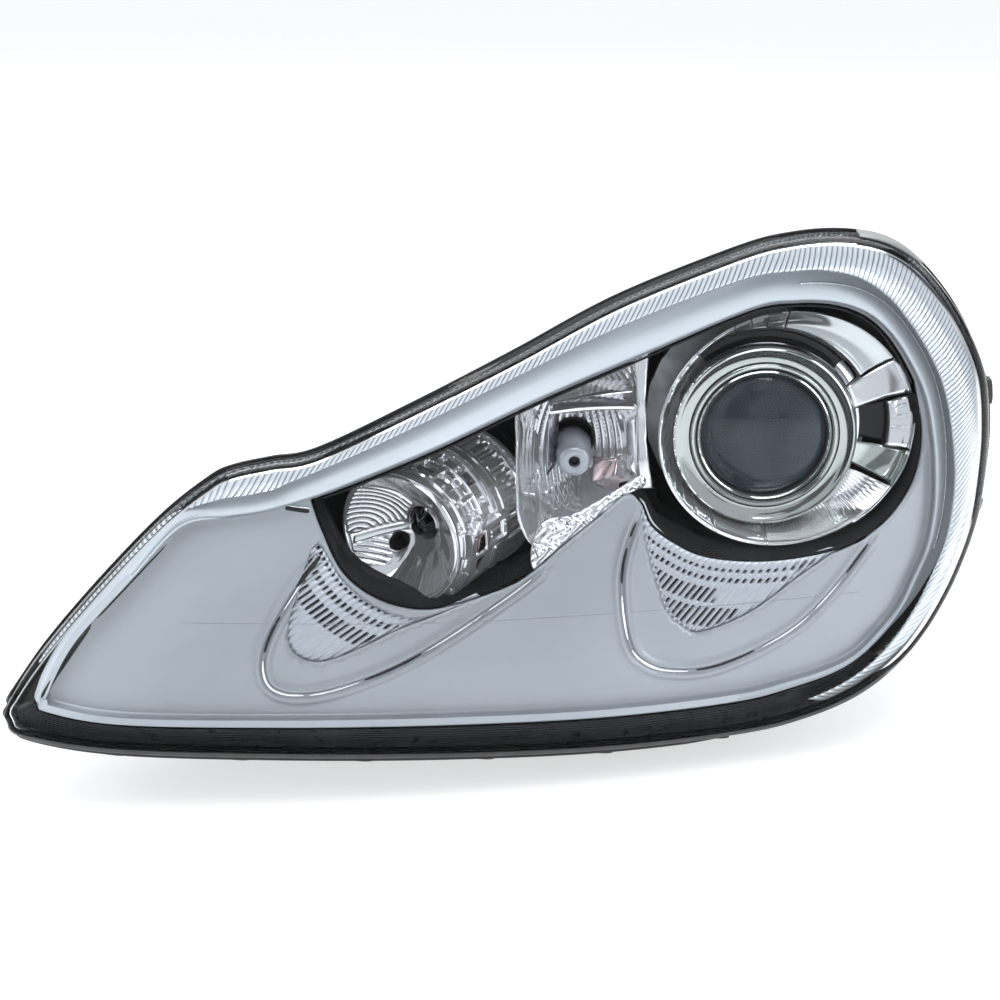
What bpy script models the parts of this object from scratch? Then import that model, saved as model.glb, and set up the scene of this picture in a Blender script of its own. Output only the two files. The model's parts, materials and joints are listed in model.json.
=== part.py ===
"""Car headlight assembly, left-hand side: clear lens with a fluted rim, swivelling xenon projector,
round high-beam reflector, turn signal, and the levelling, aiming and connection hardware behind them.

Design axes in millimetres: +X outboard, -Y forward out of the lens, +Z up. Everything is placed by at(),
which moves the origin to the underside of the mounting shoe and turns millimetres into metres."""

import math

import bmesh
import bpy
import numpy as np
from mathutils import Matrix, Vector

for old in list(bpy.data.objects):
    bpy.data.objects.remove(old, do_unlink=True)

# ---------------------------------------------------------------- driving sizes (mm)
ORIGIN = Vector((60.0, 170.0, -178.0))  # underside of the mounting shoe
MM = 0.001
GAP = 0.35  # between pieces that touch
STATIONS = 52  # cross-sections round the lamp's outline
WALL = 2.6  # housing wall
LENS_T = 3.0
BACK_INNER, BACK_OUTER = 215.0, 320.0  # depth of the two flat parts of the housing's back

PROJ = Vector((162.0, 186.0, 21.0))  # swivel centre of the projector
AIM = Vector((64.0, 184.0, 58.0))  # ball joint that carries both optics
RING = Vector((-59.3, 75.0, -25.3))  # centre of the high-beam reflector's front ring
RING_OUT = Vector((-0.528, -0.817, -0.109)).normalized()  # the way that it faces
TURN = Vector((44.5, 150.0, 15.0))  # turn-signal bulb hole
KNOB_H = Vector((243.0, 316.0, 58.0))  # horizontal aiming screw
HIGH = Vector((-32.0, 215.0, -24.0))  # high-beam cap
KNOB_V = Vector((42.0, 212.0, -64.0))  # levelling motor and vertical aiming screw

# Outline of the lens (x, z) and of the bezel's step inside it (x, z), from the inboard tip along the top.
OUTLINE = [
    (-287, -108, -264, -100), (-267, -78, -247, -69), (-233, -39, -215, -34), (-197, -3, -184, -2),
    (-169, 18, -156, 2), (-155, 24, -137, 4), (-133, 28, -112, 10), (-107, 32, -90, 17),
    (-52, 55, -35, 37), (7, 81, 26, 62), (71, 110, 92, 85), (144, 133, 151, 104),
    (178, 139, 179, 106), (210, 139, 204, 103), (236, 133, 224, 95), (259, 119, 240, 81),
    (279, 97, 254, 60), (294, 73, 263, 40), (304, 48, 268, 16), (307, 20, 270, -5),
    (306, -8, 270, -28), (302, -36, 266, -52), (293, -62, 258, -70), (281, -86, 249, -88),
    (265, -109, 237, -102), (246, -127, 222, -115), (220, -142, 205, -122), (187, -151, 178, -127),
    (149, -155, 144, -131), (67, -155, 65, -131), (-30, -150, -30, -127), (-136, -143, -135, -122),
    (-230, -136, -223, -117), (-279, -126, -261, -109), (-287, -117, -264, -105),
]
# Lower edge of the bezel's opening, under the three lamps.
OPEN_LOWER = [
    (-110, 8), (-104, -10), (-92, -36), (-72, -53), (-47, -61), (-24, -59), (0, -52), (20, -43), (36, -30),
    (58, -14), (76, -1), (84, -8), (90, -22), (104, -34), (122, -44), (148, -50), (177, -52), (210, -49),
    (236, -37), (252, -20), (260, -2), (262, 20), (258, 42),
]
TEAR_OUT = [(85, -35), (84, -48), (90, -74), (101, -92), (116, -98), (138, -95), (160, -86), (186, -70), (208, -57), (178, -60), (148, -58), (118, -51), (100, -42)]
TEAR_IN = [(-110, -30), (-120, -46), (-127, -68), (-126, -86), (-112, -94), (-88, -90), (-58, -80), (-30, -70), (-18, -67), (-48, -69), (-76, -61), (-97, -44)]

COLLECTION = bpy.data.collections.new("car_headlight_assembly")
CUTTERS = bpy.data.collections.new("cutters")
bpy.context.scene.collection.children.link(COLLECTION)
bpy.context.scene.collection.children.link(CUTTERS)


def material(name, colour, roughness, metallic=0.0, alpha=1.0):
    made = bpy.data.materials.new(name)
    made.use_nodes = True
    shader = made.node_tree.nodes["Principled BSDF"]
    shader.inputs["Base Color"].default_value = (*colour, 1.0)
    shader.inputs["Roughness"].default_value = roughness
    shader.inputs["Metallic"].default_value = metallic
    shader.inputs["Alpha"].default_value = alpha
    made.diffuse_color = (*colour, alpha)
    return made


BLACK = ((0.012, 0.012, 0.013), 0.45)
GREY_PAINT = ((0.42, 0.45, 0.48), 0.32, 0.55)
CHROME = ((0.86, 0.87, 0.88), 0.06, 1.0)
CAST = ((0.45, 0.45, 0.46), 0.4, 1.0)
STEEL = ((0.6, 0.6, 0.61), 0.28, 1.0)
ZINC = ((0.62, 0.63, 0.66), 0.35, 1.0)
CLEAR = ((0.95, 0.97, 0.98), 0.03, 0.0, 0.25)
GLASS = ((0.55, 0.58, 0.62), 0.02, 0.0, 0.5)
RUBBER = ((0.02, 0.02, 0.021), 0.8)
NYLON = ((0.75, 0.74, 0.70), 0.5)


# ---------------------------------------------------------------- helpers
def at(point):
    """A design point in millimetres as a world point in metres."""
    return (Vector(point) - ORIGIN) * MM


def add(name, mesh, finish, matrix=None, cutter=False):
    obj = bpy.data.objects.new(name, mesh)
    if matrix is not None:
        obj.matrix_world = matrix
    if cutter:
        CUTTERS.objects.link(obj)
        obj.hide_render = True
        obj.display_type = "WIRE"
    else:
        COLLECTION.objects.link(obj)
        mesh.materials.append(material(name, *finish))
    return obj


def frame_of(direction, origin):
    """Local Z along direction, local X kept level, origin in design millimetres."""
    z = Vector(direction).normalized()
    x = Vector((1, 0, 0)) if abs(z.x) < 0.9 else Vector((0, 1, 0))
    y = z.cross(x).normalized()
    x = y.cross(z)
    return Matrix.Translation(at(origin)) @ Matrix((x, y, z)).transposed().to_4x4()


def bevelled(obj, width, segments=2):
    if width:
        bevel = obj.modifiers.new("edges", "BEVEL")
        bevel.width = width * MM
        bevel.segments = segments
        bevel.limit_method = "ANGLE"
        bevel.angle_limit = math.radians(40)
    return obj


def box(name, centre, size, finish, bevel=0.0, turn=None, cutter=False):
    bm = bmesh.new()
    bmesh.ops.create_cube(bm, size=MM)
    bmesh.ops.scale(bm, vec=Vector(size), verts=bm.verts)
    mesh = bpy.data.meshes.new(name)
    bm.to_mesh(mesh)
    bm.free()
    matrix = Matrix.Translation(at(centre))
    if turn:
        matrix = matrix @ Matrix.Rotation(math.radians(turn[1]), 4, turn[0])
    return bevelled(add(name, mesh, finish, matrix, cutter), bevel, 1)


def cylinder(name, start, end, radius, finish, radius_end=None, sides=20, cutter=False):
    start, end = Vector(start), Vector(end)
    bm = bmesh.new()
    bmesh.ops.create_cone(
        bm, cap_ends=True, segments=sides, radius1=radius * MM,
        radius2=(radius if radius_end is None else radius_end) * MM, depth=(end - start).length * MM,
    )
    mesh = bpy.data.meshes.new(name)
    bm.to_mesh(mesh)
    bm.free()
    return add(name, mesh, finish, frame_of(end - start, (start + end) / 2), cutter)


def turned(name, profile, origin, direction, finish, steps=36, cutter=False):
    """A closed (radius, height) profile spun about the line through origin along direction.
    It starts on its outer side and runs down it, then back up the inner side or the axis."""
    mesh = bpy.data.meshes.new(name)
    points = [(r * MM, 0.0, h * MM) for r, h in profile]
    on_axis = [i for i, (r, _) in enumerate(profile) if r == 0]
    edges = [(i, (i + 1) % len(points)) for i in range(len(points))]
    if on_axis:  # open at the axis
        edges = [e for e in edges if not (e[0] in on_axis and e[1] in on_axis)]
    mesh.from_pydata(points, edges, [])
    obj = add(name, mesh, finish, frame_of(direction, origin), cutter)
    screw = obj.modifiers.new("turn", "SCREW")
    screw.axis = "Z"
    screw.angle = math.tau
    screw.steps = screw.render_steps = steps
    screw.use_merge_vertices = True
    screw.merge_threshold = 0.00001
    screw.use_smooth_shade = False
    return obj


def boolean(target, tools, operation):
    for tool in tools:
        if tool.name in COLLECTION.objects:
            COLLECTION.objects.unlink(tool)
            CUTTERS.objects.link(tool)
            tool.hide_render = True
            tool.display_type = "WIRE"
        step = target.modifiers.new(f"{operation.lower()}_{tool.name}", "BOOLEAN")
        step.operation = operation
        step.object = tool
    return target


def cut(target, *tools):
    return boolean(target, tools, "DIFFERENCE")


def join(target, *tools):
    return boolean(target, tools, "UNION")


def smooth_step(t):
    t = min(max(t, 0.0), 1.0)
    return t * t * (3 - 2 * t)


def catmull(points, samples, closed):
    """Points of a Catmull-Rom curve through the given ones, of any dimension."""
    pts = [np.array(p, float) for p in points]
    n = len(pts)
    spans = n if closed else n - 1
    found = []
    count = samples if closed else samples - 1
    for k in range(samples):
        u = k * spans / count
        i = min(int(u), spans - 1)
        t = u - i
        if closed:
            a, b, c, d = (pts[(i + j) % n] for j in (-1, 0, 1, 2))
        else:
            a, b, c, d = (pts[min(max(i + j, 0), n - 1)] for j in (-1, 0, 1, 2))
        found.append(0.5 * (2 * b + (c - a) * t + (2 * a - 5 * b + 4 * c - d) * t * t + (3 * b - a - 3 * c + d) * t**3))
    return found


def extruded(name, outline, front, back, finish, cutter=False):
    """A flat (x, z) outline stretched from y = front to y = back."""
    bm = bmesh.new()
    ring = [[bm.verts.new(at((x, y, z))) for x, z in outline] for y in (front, back)]
    count = len(outline)
    faces = [bm.faces.new(ring[0]), bm.faces.new(ring[1])]
    for i in range(count):
        j = (i + 1) % count
        faces.append(bm.faces.new((ring[0][i], ring[0][j], ring[1][j], ring[1][i])))
    bmesh.ops.recalc_face_normals(bm, faces=faces)
    bmesh.ops.triangulate(bm, faces=[faces[0], faces[1]])
    mesh = bpy.data.meshes.new(name)
    bm.to_mesh(mesh)
    bm.free()
    return add(name, mesh, finish, None, cutter)


def offset_outline(outline, distance):
    """The (x, z) outline moved outwards by distance."""
    count = len(outline)
    area = sum(outline[i][0] * outline[(i + 1) % count][1] - outline[(i + 1) % count][0] * outline[i][1] for i in range(count))
    turn = 1.0 if area > 0 else -1.0
    moved = []
    for i in range(count):
        (ax, az), (bx, bz) = outline[i - 1], outline[(i + 1) % count]
        length = math.hypot(bx - ax, bz - az) or 1.0
        moved.append((outline[i][0] + turn * (bz - az) / length * distance, outline[i][1] - turn * (bx - ax) / length * distance))
    return moved


# ---------------------------------------------------------------- the lamp's outer form
def face_depth(x, z):
    """Depth y of the lens's outer face: it sweeps back outboard and leans back at the top."""
    across, up = (x + 300.0) / 600.0, max((z + 165.0) / 330.0, 0.0)
    return 130.0 * across**2 + 55.0 * up**2


def back_depth(x):
    tip = 108.0 + (BACK_INNER - 108.0) * smooth_step((x + 276.0) / 96.0)
    return tip + (BACK_OUTER - BACK_INNER) * smooth_step((x - 85.0) / 24.0)


def stations():
    """The outline's sections, evenly spaced but closer together round the inboard tip."""
    dense = catmull(OUTLINE, 1400, True)
    steps = []
    for k, p in enumerate(dense):
        q = dense[(k + 1) % len(dense)]
        steps.append(math.hypot(q[0] - p[0], q[1] - p[1]) * (2.6 if p[0] < -262 else 1.0))
    total, run, found, wanted = sum(steps), 0.0, [], 0
    for p, step in zip(dense, steps):
        if wanted < STATIONS and run >= wanted * total / STATIONS - 1e-9:
            found.append(p)
            wanted += 1
        run += step
    return dense, found


DENSE, TRACK = stations()
RIM = [Vector((p[0], p[1])) for p in TRACK]
STEP = [Vector((p[2], p[3])) for p in TRACK]


def spine_points():
    """For each station the point of the lamp's middle line that its sections shrink towards."""
    right = max(range(len(DENSE)), key=lambda k: DENSE[k][0])
    upper = [(p[0], p[1]) for p in DENSE[:right]]
    lower = [(p[0], p[1]) for p in DENSE[:right:-1]]
    found = []
    for p in RIM:
        if p.x > 90:
            s = (p.x - 90) / 217.0
            x = 90 + 80 * s * (2 - s)
        elif p.x < -170:
            x = -170 - 62 * (-170 - p.x) / 117.0
        else:
            x = p.x
        top = float(np.interp(x, [a for a, _ in upper], [b for _, b in upper]))
        low = float(np.interp(x, [a for a, _ in lower], [b for _, b in lower]))
        found.append(Vector((x, (top + low) / 2)))
    for _ in range(2):
        found = [(found[i - 1] + found[i] * 2 + found[(i + 1) % STATIONS]) / 4 for i in range(STATIONS)]
    return found


SPINE = spine_points()


def outward(i):
    tangent = RIM[(i + 1) % STATIONS] - RIM[i - 1]
    normal = Vector((tangent.y, -tangent.x)).normalized()
    return -normal if normal.dot(SPINE[i] - RIM[i]) > 0 else normal


OUT = [outward(i) for i in range(STATIONS)]


def inset(i, distance, start=None):
    """Station i's rim point moved inwards by distance, never past the middle line."""
    start = RIM[i] if start is None else start[i]
    if distance <= 0:
        return start - OUT[i] * distance
    way = SPINE[i] - start
    length = way.length
    lean = max(-way.normalized().dot(OUT[i]), 0.45)
    return start + way.normalized() * (0.86 * length * math.tanh(distance / lean / (0.86 * length)))


def bottom_share(i):
    """1 along the bottom and the inboard edge, 0 along the top and outboard."""
    return smooth_step((-OUT[i].y - 0.1) / 0.7) if RIM[i].x > -100 else smooth_step((-OUT[i].y + 0.95) / 0.6)


def rim_height(i):
    """How far behind the face the lens's wall ends."""
    return 40.0 - 8.0 * bottom_share(i)


def lip_width(i):
    """How far the housing's edge stands out past the lens."""
    n = OUT[i]
    return 2.2 + 6.8 * smooth_step((-n.y - 0.35) / 0.6) * smooth_step((230 - RIM[i].x) / 120) + 2.2 * smooth_step((n.x - 0.3) / 0.5)


def zip_faces(bm, ring, flip):
    """Closes a long ring with triangles between its upper and lower halves."""
    count = len(ring)
    xs = [v.co.x for v in ring]
    left, right = xs.index(min(xs)), xs.index(max(xs))
    upper = [(left + k) % count for k in range((right - left) % count + 1)]
    lower = [(left - k) % count for k in range((left - right) % count + 1)]
    a = b = 0
    while a < len(upper) - 1 or b < len(lower) - 1:
        step_a = b == len(lower) - 1 or (a < len(upper) - 1 and xs[upper[a + 1]] <= xs[lower[b + 1]])
        corner = upper[a + 1] if step_a else lower[b + 1]
        tri = [ring[upper[a]], ring[corner], ring[lower[b]]]
        if step_a:
            a += 1
        else:
            b += 1
        if len(set(tri)) == 3:
            bm.faces.new(tri[::-1] if flip else tri)


def shell_of_rings(name, rings, finish, cap_ends=True, closed_loop=False):
    """Skins ring after ring of design points; a chain of rings from the outer middle, over the rim, to the inner middle."""
    bm = bmesh.new()
    made = [[bm.verts.new(at(p)) for p in ring] for ring in rings]
    pairs = list(zip(made, made[1:])) + ([(made[-1], made[0])] if closed_loop else [])
    for first, second in pairs:
        count = len(first)
        for i in range(count):
            j = (i + 1) % count
            bm.faces.new((first[i], first[j], second[j], second[i]))
    if cap_ends and not closed_loop:
        zip_faces(bm, made[0], True)
        zip_faces(bm, made[-1], False)
    bmesh.ops.recalc_face_normals(bm, faces=bm.faces)
    bmesh.ops.triangulate(bm, faces=bm.faces)
    mesh = bpy.data.meshes.new(name)
    bm.to_mesh(mesh)
    bm.free()
    return add(name, mesh, finish)


def ring_at(distance, depth, start=None):
    """A ring inset by distance, at depth(i, point)."""
    ring = []
    for i in range(STATIONS):
        p = inset(i, distance(i) if callable(distance) else distance, start)
        ring.append((p.x, depth(i, p), p.y))
    return ring


def middle_ring(share, depth, start=None, base=34):
    """A ring that is share of the way from the one inset by base to the middle line."""
    ring = []
    for i in range(STATIONS):
        p = inset(i, base, start).lerp(SPINE[i], share)
        ring.append((p.x, depth(i, p), p.y))
    return ring


def behind(h):
    """Depth measured back from the lens face above the rim itself."""
    return lambda i, p: face_depth(RIM[i].x, RIM[i].y) + (h(i) if callable(h) else h)


def over(h):
    """Depth measured back from the lens face at the point."""
    return lambda i, p: face_depth(p.x, p.y) + h


def tucked_ring(distance, depth, wall=0.0, share=0.0):
    """A housing ring whose upper side stays below a line that falls back from the top of the lip."""
    ring = []
    for i in range(STATIONS):
        p = inset(i, distance)
        y = depth(i, p)
        z = p.y
        if z > SPINE[i].y:
            top = RIM[i].y + (face_depth(RIM[i].x, RIM[i].y) + 66.0 - y) * 0.325 - wall * 1.1
            z = max(min(z, top), SPINE[i].y + 3.0 - wall)
        q = Vector((p.x, z)).lerp(SPINE[i], share)
        ring.append((q.x, depth(i, q), q.y))
    return ring


def lens():
    foot = lambda i: rim_height(i) + 10
    edge = lambda i: 22.0 - 10.0 * bottom_share(i)
    outer = [
        middle_ring(0.85, over(0)), middle_ring(0.4, over(0)), ring_at(24, over(0.6)),
        ring_at(9, over(4.5)), ring_at(3, over(10)), ring_at(0, behind(edge)), ring_at(-0.4, behind(foot)),
    ]
    inner = [
        ring_at(LENS_T, behind(foot)), ring_at(LENS_T, behind(lambda i: edge(i) + 1.5)), ring_at(5.6, over(12.6)), ring_at(10.8, over(7.8)),
        ring_at(24.8, over(3.7)), middle_ring(0.4, over(LENS_T)), middle_ring(0.85, over(LENS_T)),
    ]
    return shell_of_rings("outer_lens", outer + inner, CLEAR)


def seal():
    top = lambda i: rim_height(i) + 10 + GAP
    low = lambda i: rim_height(i) + 13
    return shell_of_rings("lens_seal", [
        ring_at(-0.3, behind(top)), ring_at(-0.3, behind(low)), ring_at(3.2, behind(low)), ring_at(3.2, behind(top)),
    ], RUBBER, cap_ends=False, closed_loop=True)


def housing():
    lip = lambda i: -(1.0 + lip_width(i))
    h = lambda extra: behind(lambda i: rim_height(i) + extra)
    back = lambda extra: (lambda i, p: back_depth(p.x) + extra)

    def half(extra):
        """Part of the way from the rim to the back face."""
        return lambda i, p: 0.5 * (face_depth(RIM[i].x, RIM[i].y) + rim_height(i) + 24) + 0.5 * (back_depth(p.x) - 16) + extra

    rings = [
        tucked_ring(34, back(0), share=0.75), tucked_ring(34, back(0)), tucked_ring(20, back(-12)), tucked_ring(12, half(0)), ring_at(2, h(26)),
        ring_at(lip, h(19)), ring_at(lip, h(1)), ring_at(-0.9, h(0)), ring_at(-0.9, h(13 + GAP)), ring_at(3.8, h(13 + GAP)),
        ring_at(3.8, h(4)), ring_at(6.2, h(4)), ring_at(6.2, h(24)), tucked_ring(12 + WALL, half(0), WALL), tucked_ring(20 + WALL, back(-12 - WALL), WALL),
        tucked_ring(34 + WALL, back(-WALL), WALL), tucked_ring(34 + WALL, back(-WALL), WALL, 0.75),
    ]
    body = shell_of_rings("housing", rings, BLACK)
    low = cylinder("h_low_collar", (PROJ.x, BACK_OUTER - 16, PROJ.z), (PROJ.x, BACK_OUTER + 9, PROJ.z), 62, BLACK, sides=36)
    high = cylinder("h_high_collar", (HIGH.x, BACK_INNER - 1.5, HIGH.z), (HIGH.x, BACK_INNER + 9, HIGH.z), 44, BLACK, sides=32)
    pad = box("h_pad", (60, 160, -148.2), (118, 84, 16.6), BLACK)
    join(body, low, high, pad)
    cut(
        body,
        cylinder("c_low", (PROJ.x, BACK_OUTER - 24, PROJ.z), (PROJ.x, BACK_OUTER + 20, PROJ.z), 54, BLACK, sides=36, cutter=True),
        cylinder("c_high", (HIGH.x, BACK_INNER - 12, HIGH.z), (HIGH.x, BACK_INNER + 20, HIGH.z), 37, BLACK, sides=32, cutter=True),
        cylinder("c_turn", (TURN.x, BACK_INNER - 12, TURN.z), (TURN.x, BACK_INNER + 20, TURN.z), 14.6, BLACK, sides=24, cutter=True),
        cylinder("c_knob_v", (KNOB_V.x, BACK_INNER - 12, KNOB_V.z), (KNOB_V.x, BACK_INNER + 20, KNOB_V.z), 17, BLACK, sides=24, cutter=True),
        cylinder("c_knob_h", (KNOB_H.x, BACK_OUTER - 12, KNOB_H.z), (KNOB_H.x, BACK_OUTER + 20, KNOB_H.z), 6.5, BLACK, sides=20, cutter=True),
        cylinder("c_stud", (AIM.x, BACK_INNER - 12, AIM.z), (AIM.x, BACK_INNER + 20, AIM.z), 4.6, BLACK, sides=16, cutter=True),
        box("c_plug", (-112, BACK_INNER, -88), (41, 30, 25), BLACK, cutter=True),
    )
    return body


def opening_outline():
    """The bezel's opening: its lower edge, then back along just inside the step line."""
    first = next(i for i in range(STATIONS) if STEP[i].x > -104)
    last = max(i for i in range(STATIONS) if STEP[i].x > 250 and STEP[i].y > 50)
    upper = []
    for i in range(first, last + 1):
        inwards = (SPINE[i] - STEP[i]).normalized()
        upper.append((STEP[i].x + inwards.x * 3.0, STEP[i].y + inwards.y * 3.0))
    lower = [(float(p[0]), float(p[1])) for p in catmull(OPEN_LOWER, 46, False)]
    return lower + upper[::-1]


def bezel():
    edge = STEP

    def flange(share, height):
        """A ring part of the way from the lens's rim to the step."""
        between = [RIM[i].lerp(STEP[i], share) for i in range(STATIONS)]
        return [(p.x, behind(height)(i, p), p.y) for i, p in enumerate(between)]

    def under(share, thickness):
        """The flange's back, kept clear of its front between the rim and the step."""
        ring = []
        for i in range(STATIONS):
            p = RIM[i].lerp(STEP[i], share)
            rim_y = face_depth(RIM[i].x, RIM[i].y) + 20.0 - 5 * bottom_share(i)
            step_y = face_depth(STEP[i].x, STEP[i].y) + 12.0
            front = rim_y + (step_y - rim_y) * (share - 0.56) / 0.44
            ring.append((p.x, front + thickness, p.y))
        return ring

    rings = [
        middle_ring(0.85, over(19), edge, 10), middle_ring(0.45, over(19), edge, 10), ring_at(10, over(18.5), edge), ring_at(1.4, over(17), edge), ring_at(0.2, over(12), edge),
        flange(0.56, lambda i: 20.0 - 5 * bottom_share(i)), flange(0.45, lambda i: rim_height(i) - 2),
        flange(0.55, lambda i: rim_height(i) - 2), flange(0.67, lambda i: 22.6 - 5 * bottom_share(i)),
        under(0.86, 3.2), under(0.94, 4.6), ring_at(10, over(21.1), edge), middle_ring(0.45, over(21.6), edge, 10), middle_ring(0.85, over(21.6), edge, 10),
    ]
    body = shell_of_rings("bezel", rings, GREY_PAINT)
    cut(
        body,
        extruded("c_opening", opening_outline(), 20, 260, BLACK, cutter=True),
        extruded("c_tear_out", TEAR_OUT, 20, 200, BLACK, cutter=True),
        extruded("c_tear_in", TEAR_IN, 0, 160, BLACK, cutter=True),
    )
    return body


def strip(name, path, finish, inner, outer, front, back, flare, flange=None):
    """A wall that follows the (x, z) path behind the bezel, from offset inner to outer of it, flaring outwards; flange turns its back edge inwards."""
    count = len(path)
    rings = []
    for i in range(count):
        (ax, az), (bx, bz) = path[max(i - 1, 0)], path[min(i + 1, count - 1)]
        length = math.hypot(bx - ax, bz - az)
        nx, nz = (bz - az) / length, -(bx - ax) / length  # away from the lamps when the path runs left to right
        x, z = path[i]
        base = face_depth(x, z)
        section = [(inner, front), (outer, front), (outer, front + 4), (outer + flare, back)]
        section += [(flange, back), (flange, back - 2.2), (inner + flare, back - 2.2)] if flange is not None else [(inner + flare, back)]
        section += [(inner, front + 4)]
        rings.append([(x + nx * o, base + d, z + nz * o) for o, d in section])
    bm = bmesh.new()
    made = [[bm.verts.new(at(p)) for p in ring] for ring in rings]
    for first, second in zip(made, made[1:]):
        for i in range(len(first)):
            j = (i + 1) % len(first)
            bm.faces.new((first[i], first[j], second[j], second[i]))
    bm.faces.new(made[0])
    bm.faces.new(made[-1])
    bmesh.ops.recalc_face_normals(bm, faces=bm.faces)
    mesh = bpy.data.meshes.new(name)
    bm.to_mesh(mesh)
    bm.free()
    return add(name, mesh, finish)


def surrounds():
    lower = [(float(p[0]), float(p[1])) for p in catmull(OPEN_LOWER, 50, False)]
    aux = [p for p in lower if p[0] < 24]
    proj = [p for p in lower if p[0] > 83 or (p[0] > 78 and p[1] < -4)]
    strip("high_beam_surround", aux, BLACK, 0.6, 2.8, 22.5, 64, 20.0)
    strip("projector_surround", proj, BLACK, 0.6, 2.8, 22.5, 44, 3.0)


def louvre(name, outline, ribs, slope):
    """A panel behind the bezel's teardrop opening, with ribs that fill the opening."""
    plate = offset_outline(outline, 2.6)
    bm = bmesh.new()
    front = [bm.verts.new(at((x, face_depth(x, z) + 23.2, z))) for x, z in plate]
    back = [bm.verts.new(at((x, face_depth(x, z) + 25.4, z))) for x, z in plate]
    count = len(plate)
    tops = [bm.faces.new(front), bm.faces.new(back)]
    for i in range(count):
        j = (i + 1) % count
        bm.faces.new((front[i], front[j], back[j], back[i]))
    bmesh.ops.recalc_face_normals(bm, faces=bm.faces)
    bmesh.ops.triangulate(bm, faces=tops)
    mesh = bpy.data.meshes.new(name)
    bm.to_mesh(mesh)
    bm.free()
    panel = add(name, mesh, CHROME)
    return panel


def lamp_rings(name, centre, direction, radii, depths, finish):
    return turned(name, list(zip(radii, depths)), centre, direction, finish)


def aux_lamp():
    back = -RING_OUT
    # local heights run from 0 at the front ring back to negative values along the lamp
    turned("high_beam_ring", [(41.2, 1.5), (41.6, 0), (41.6, -7), (39.6, -7), (39.6, 0), (40.1, 1.5)], RING, RING_OUT, CHROME, steps=24)
    turned("high_beam_reflector", [
        (39.2, -0.6), (38.8, -10), (36.8, -24), (32.0, -40), (23.4, -55), (15.5, -62), (15.5, -70), (8.6, -70), (8.6, -60.5), (15, -58.5),
        (22.2, -52.5), (30.2, -38.8), (34.8, -23.4), (36.7, -9.8), (37.1, -0.6),
    ], RING, RING_OUT, CHROME, steps=24)
    turned("high_beam_drum", [
        (41.6, -7.4), (43.6, -14), (43.6, -30), (41.2, -31), (41.2, -44), (43.6, -45), (43.6, -60), (39.6, -68), (29.4, -74), (16.2, -74),
        (16.2, -71.6), (28.4, -71.4), (37.8, -66.4), (39.3, -59), (39.3, -14.4), (39.6, -7.4),
    ], RING, RING_OUT, CHROME, steps=24)
    turned("high_beam_bulb", [
        (0, -30), (3.5, -31), (6.0, -35), (6.0, -60), (8.2, -61), (8.2, -70.6), (14.5, -70.6), (14.5, -76), (12.0, -76.5), (12.0, -95), (0, -95),
    ], RING, RING_OUT, GLASS, steps=14)
    turned("bulb_spring_clip", [(17.2, -76.5), (17.2, -78), (13, -78), (13, -76.5)], RING, RING_OUT, STEEL, steps=24)


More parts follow.
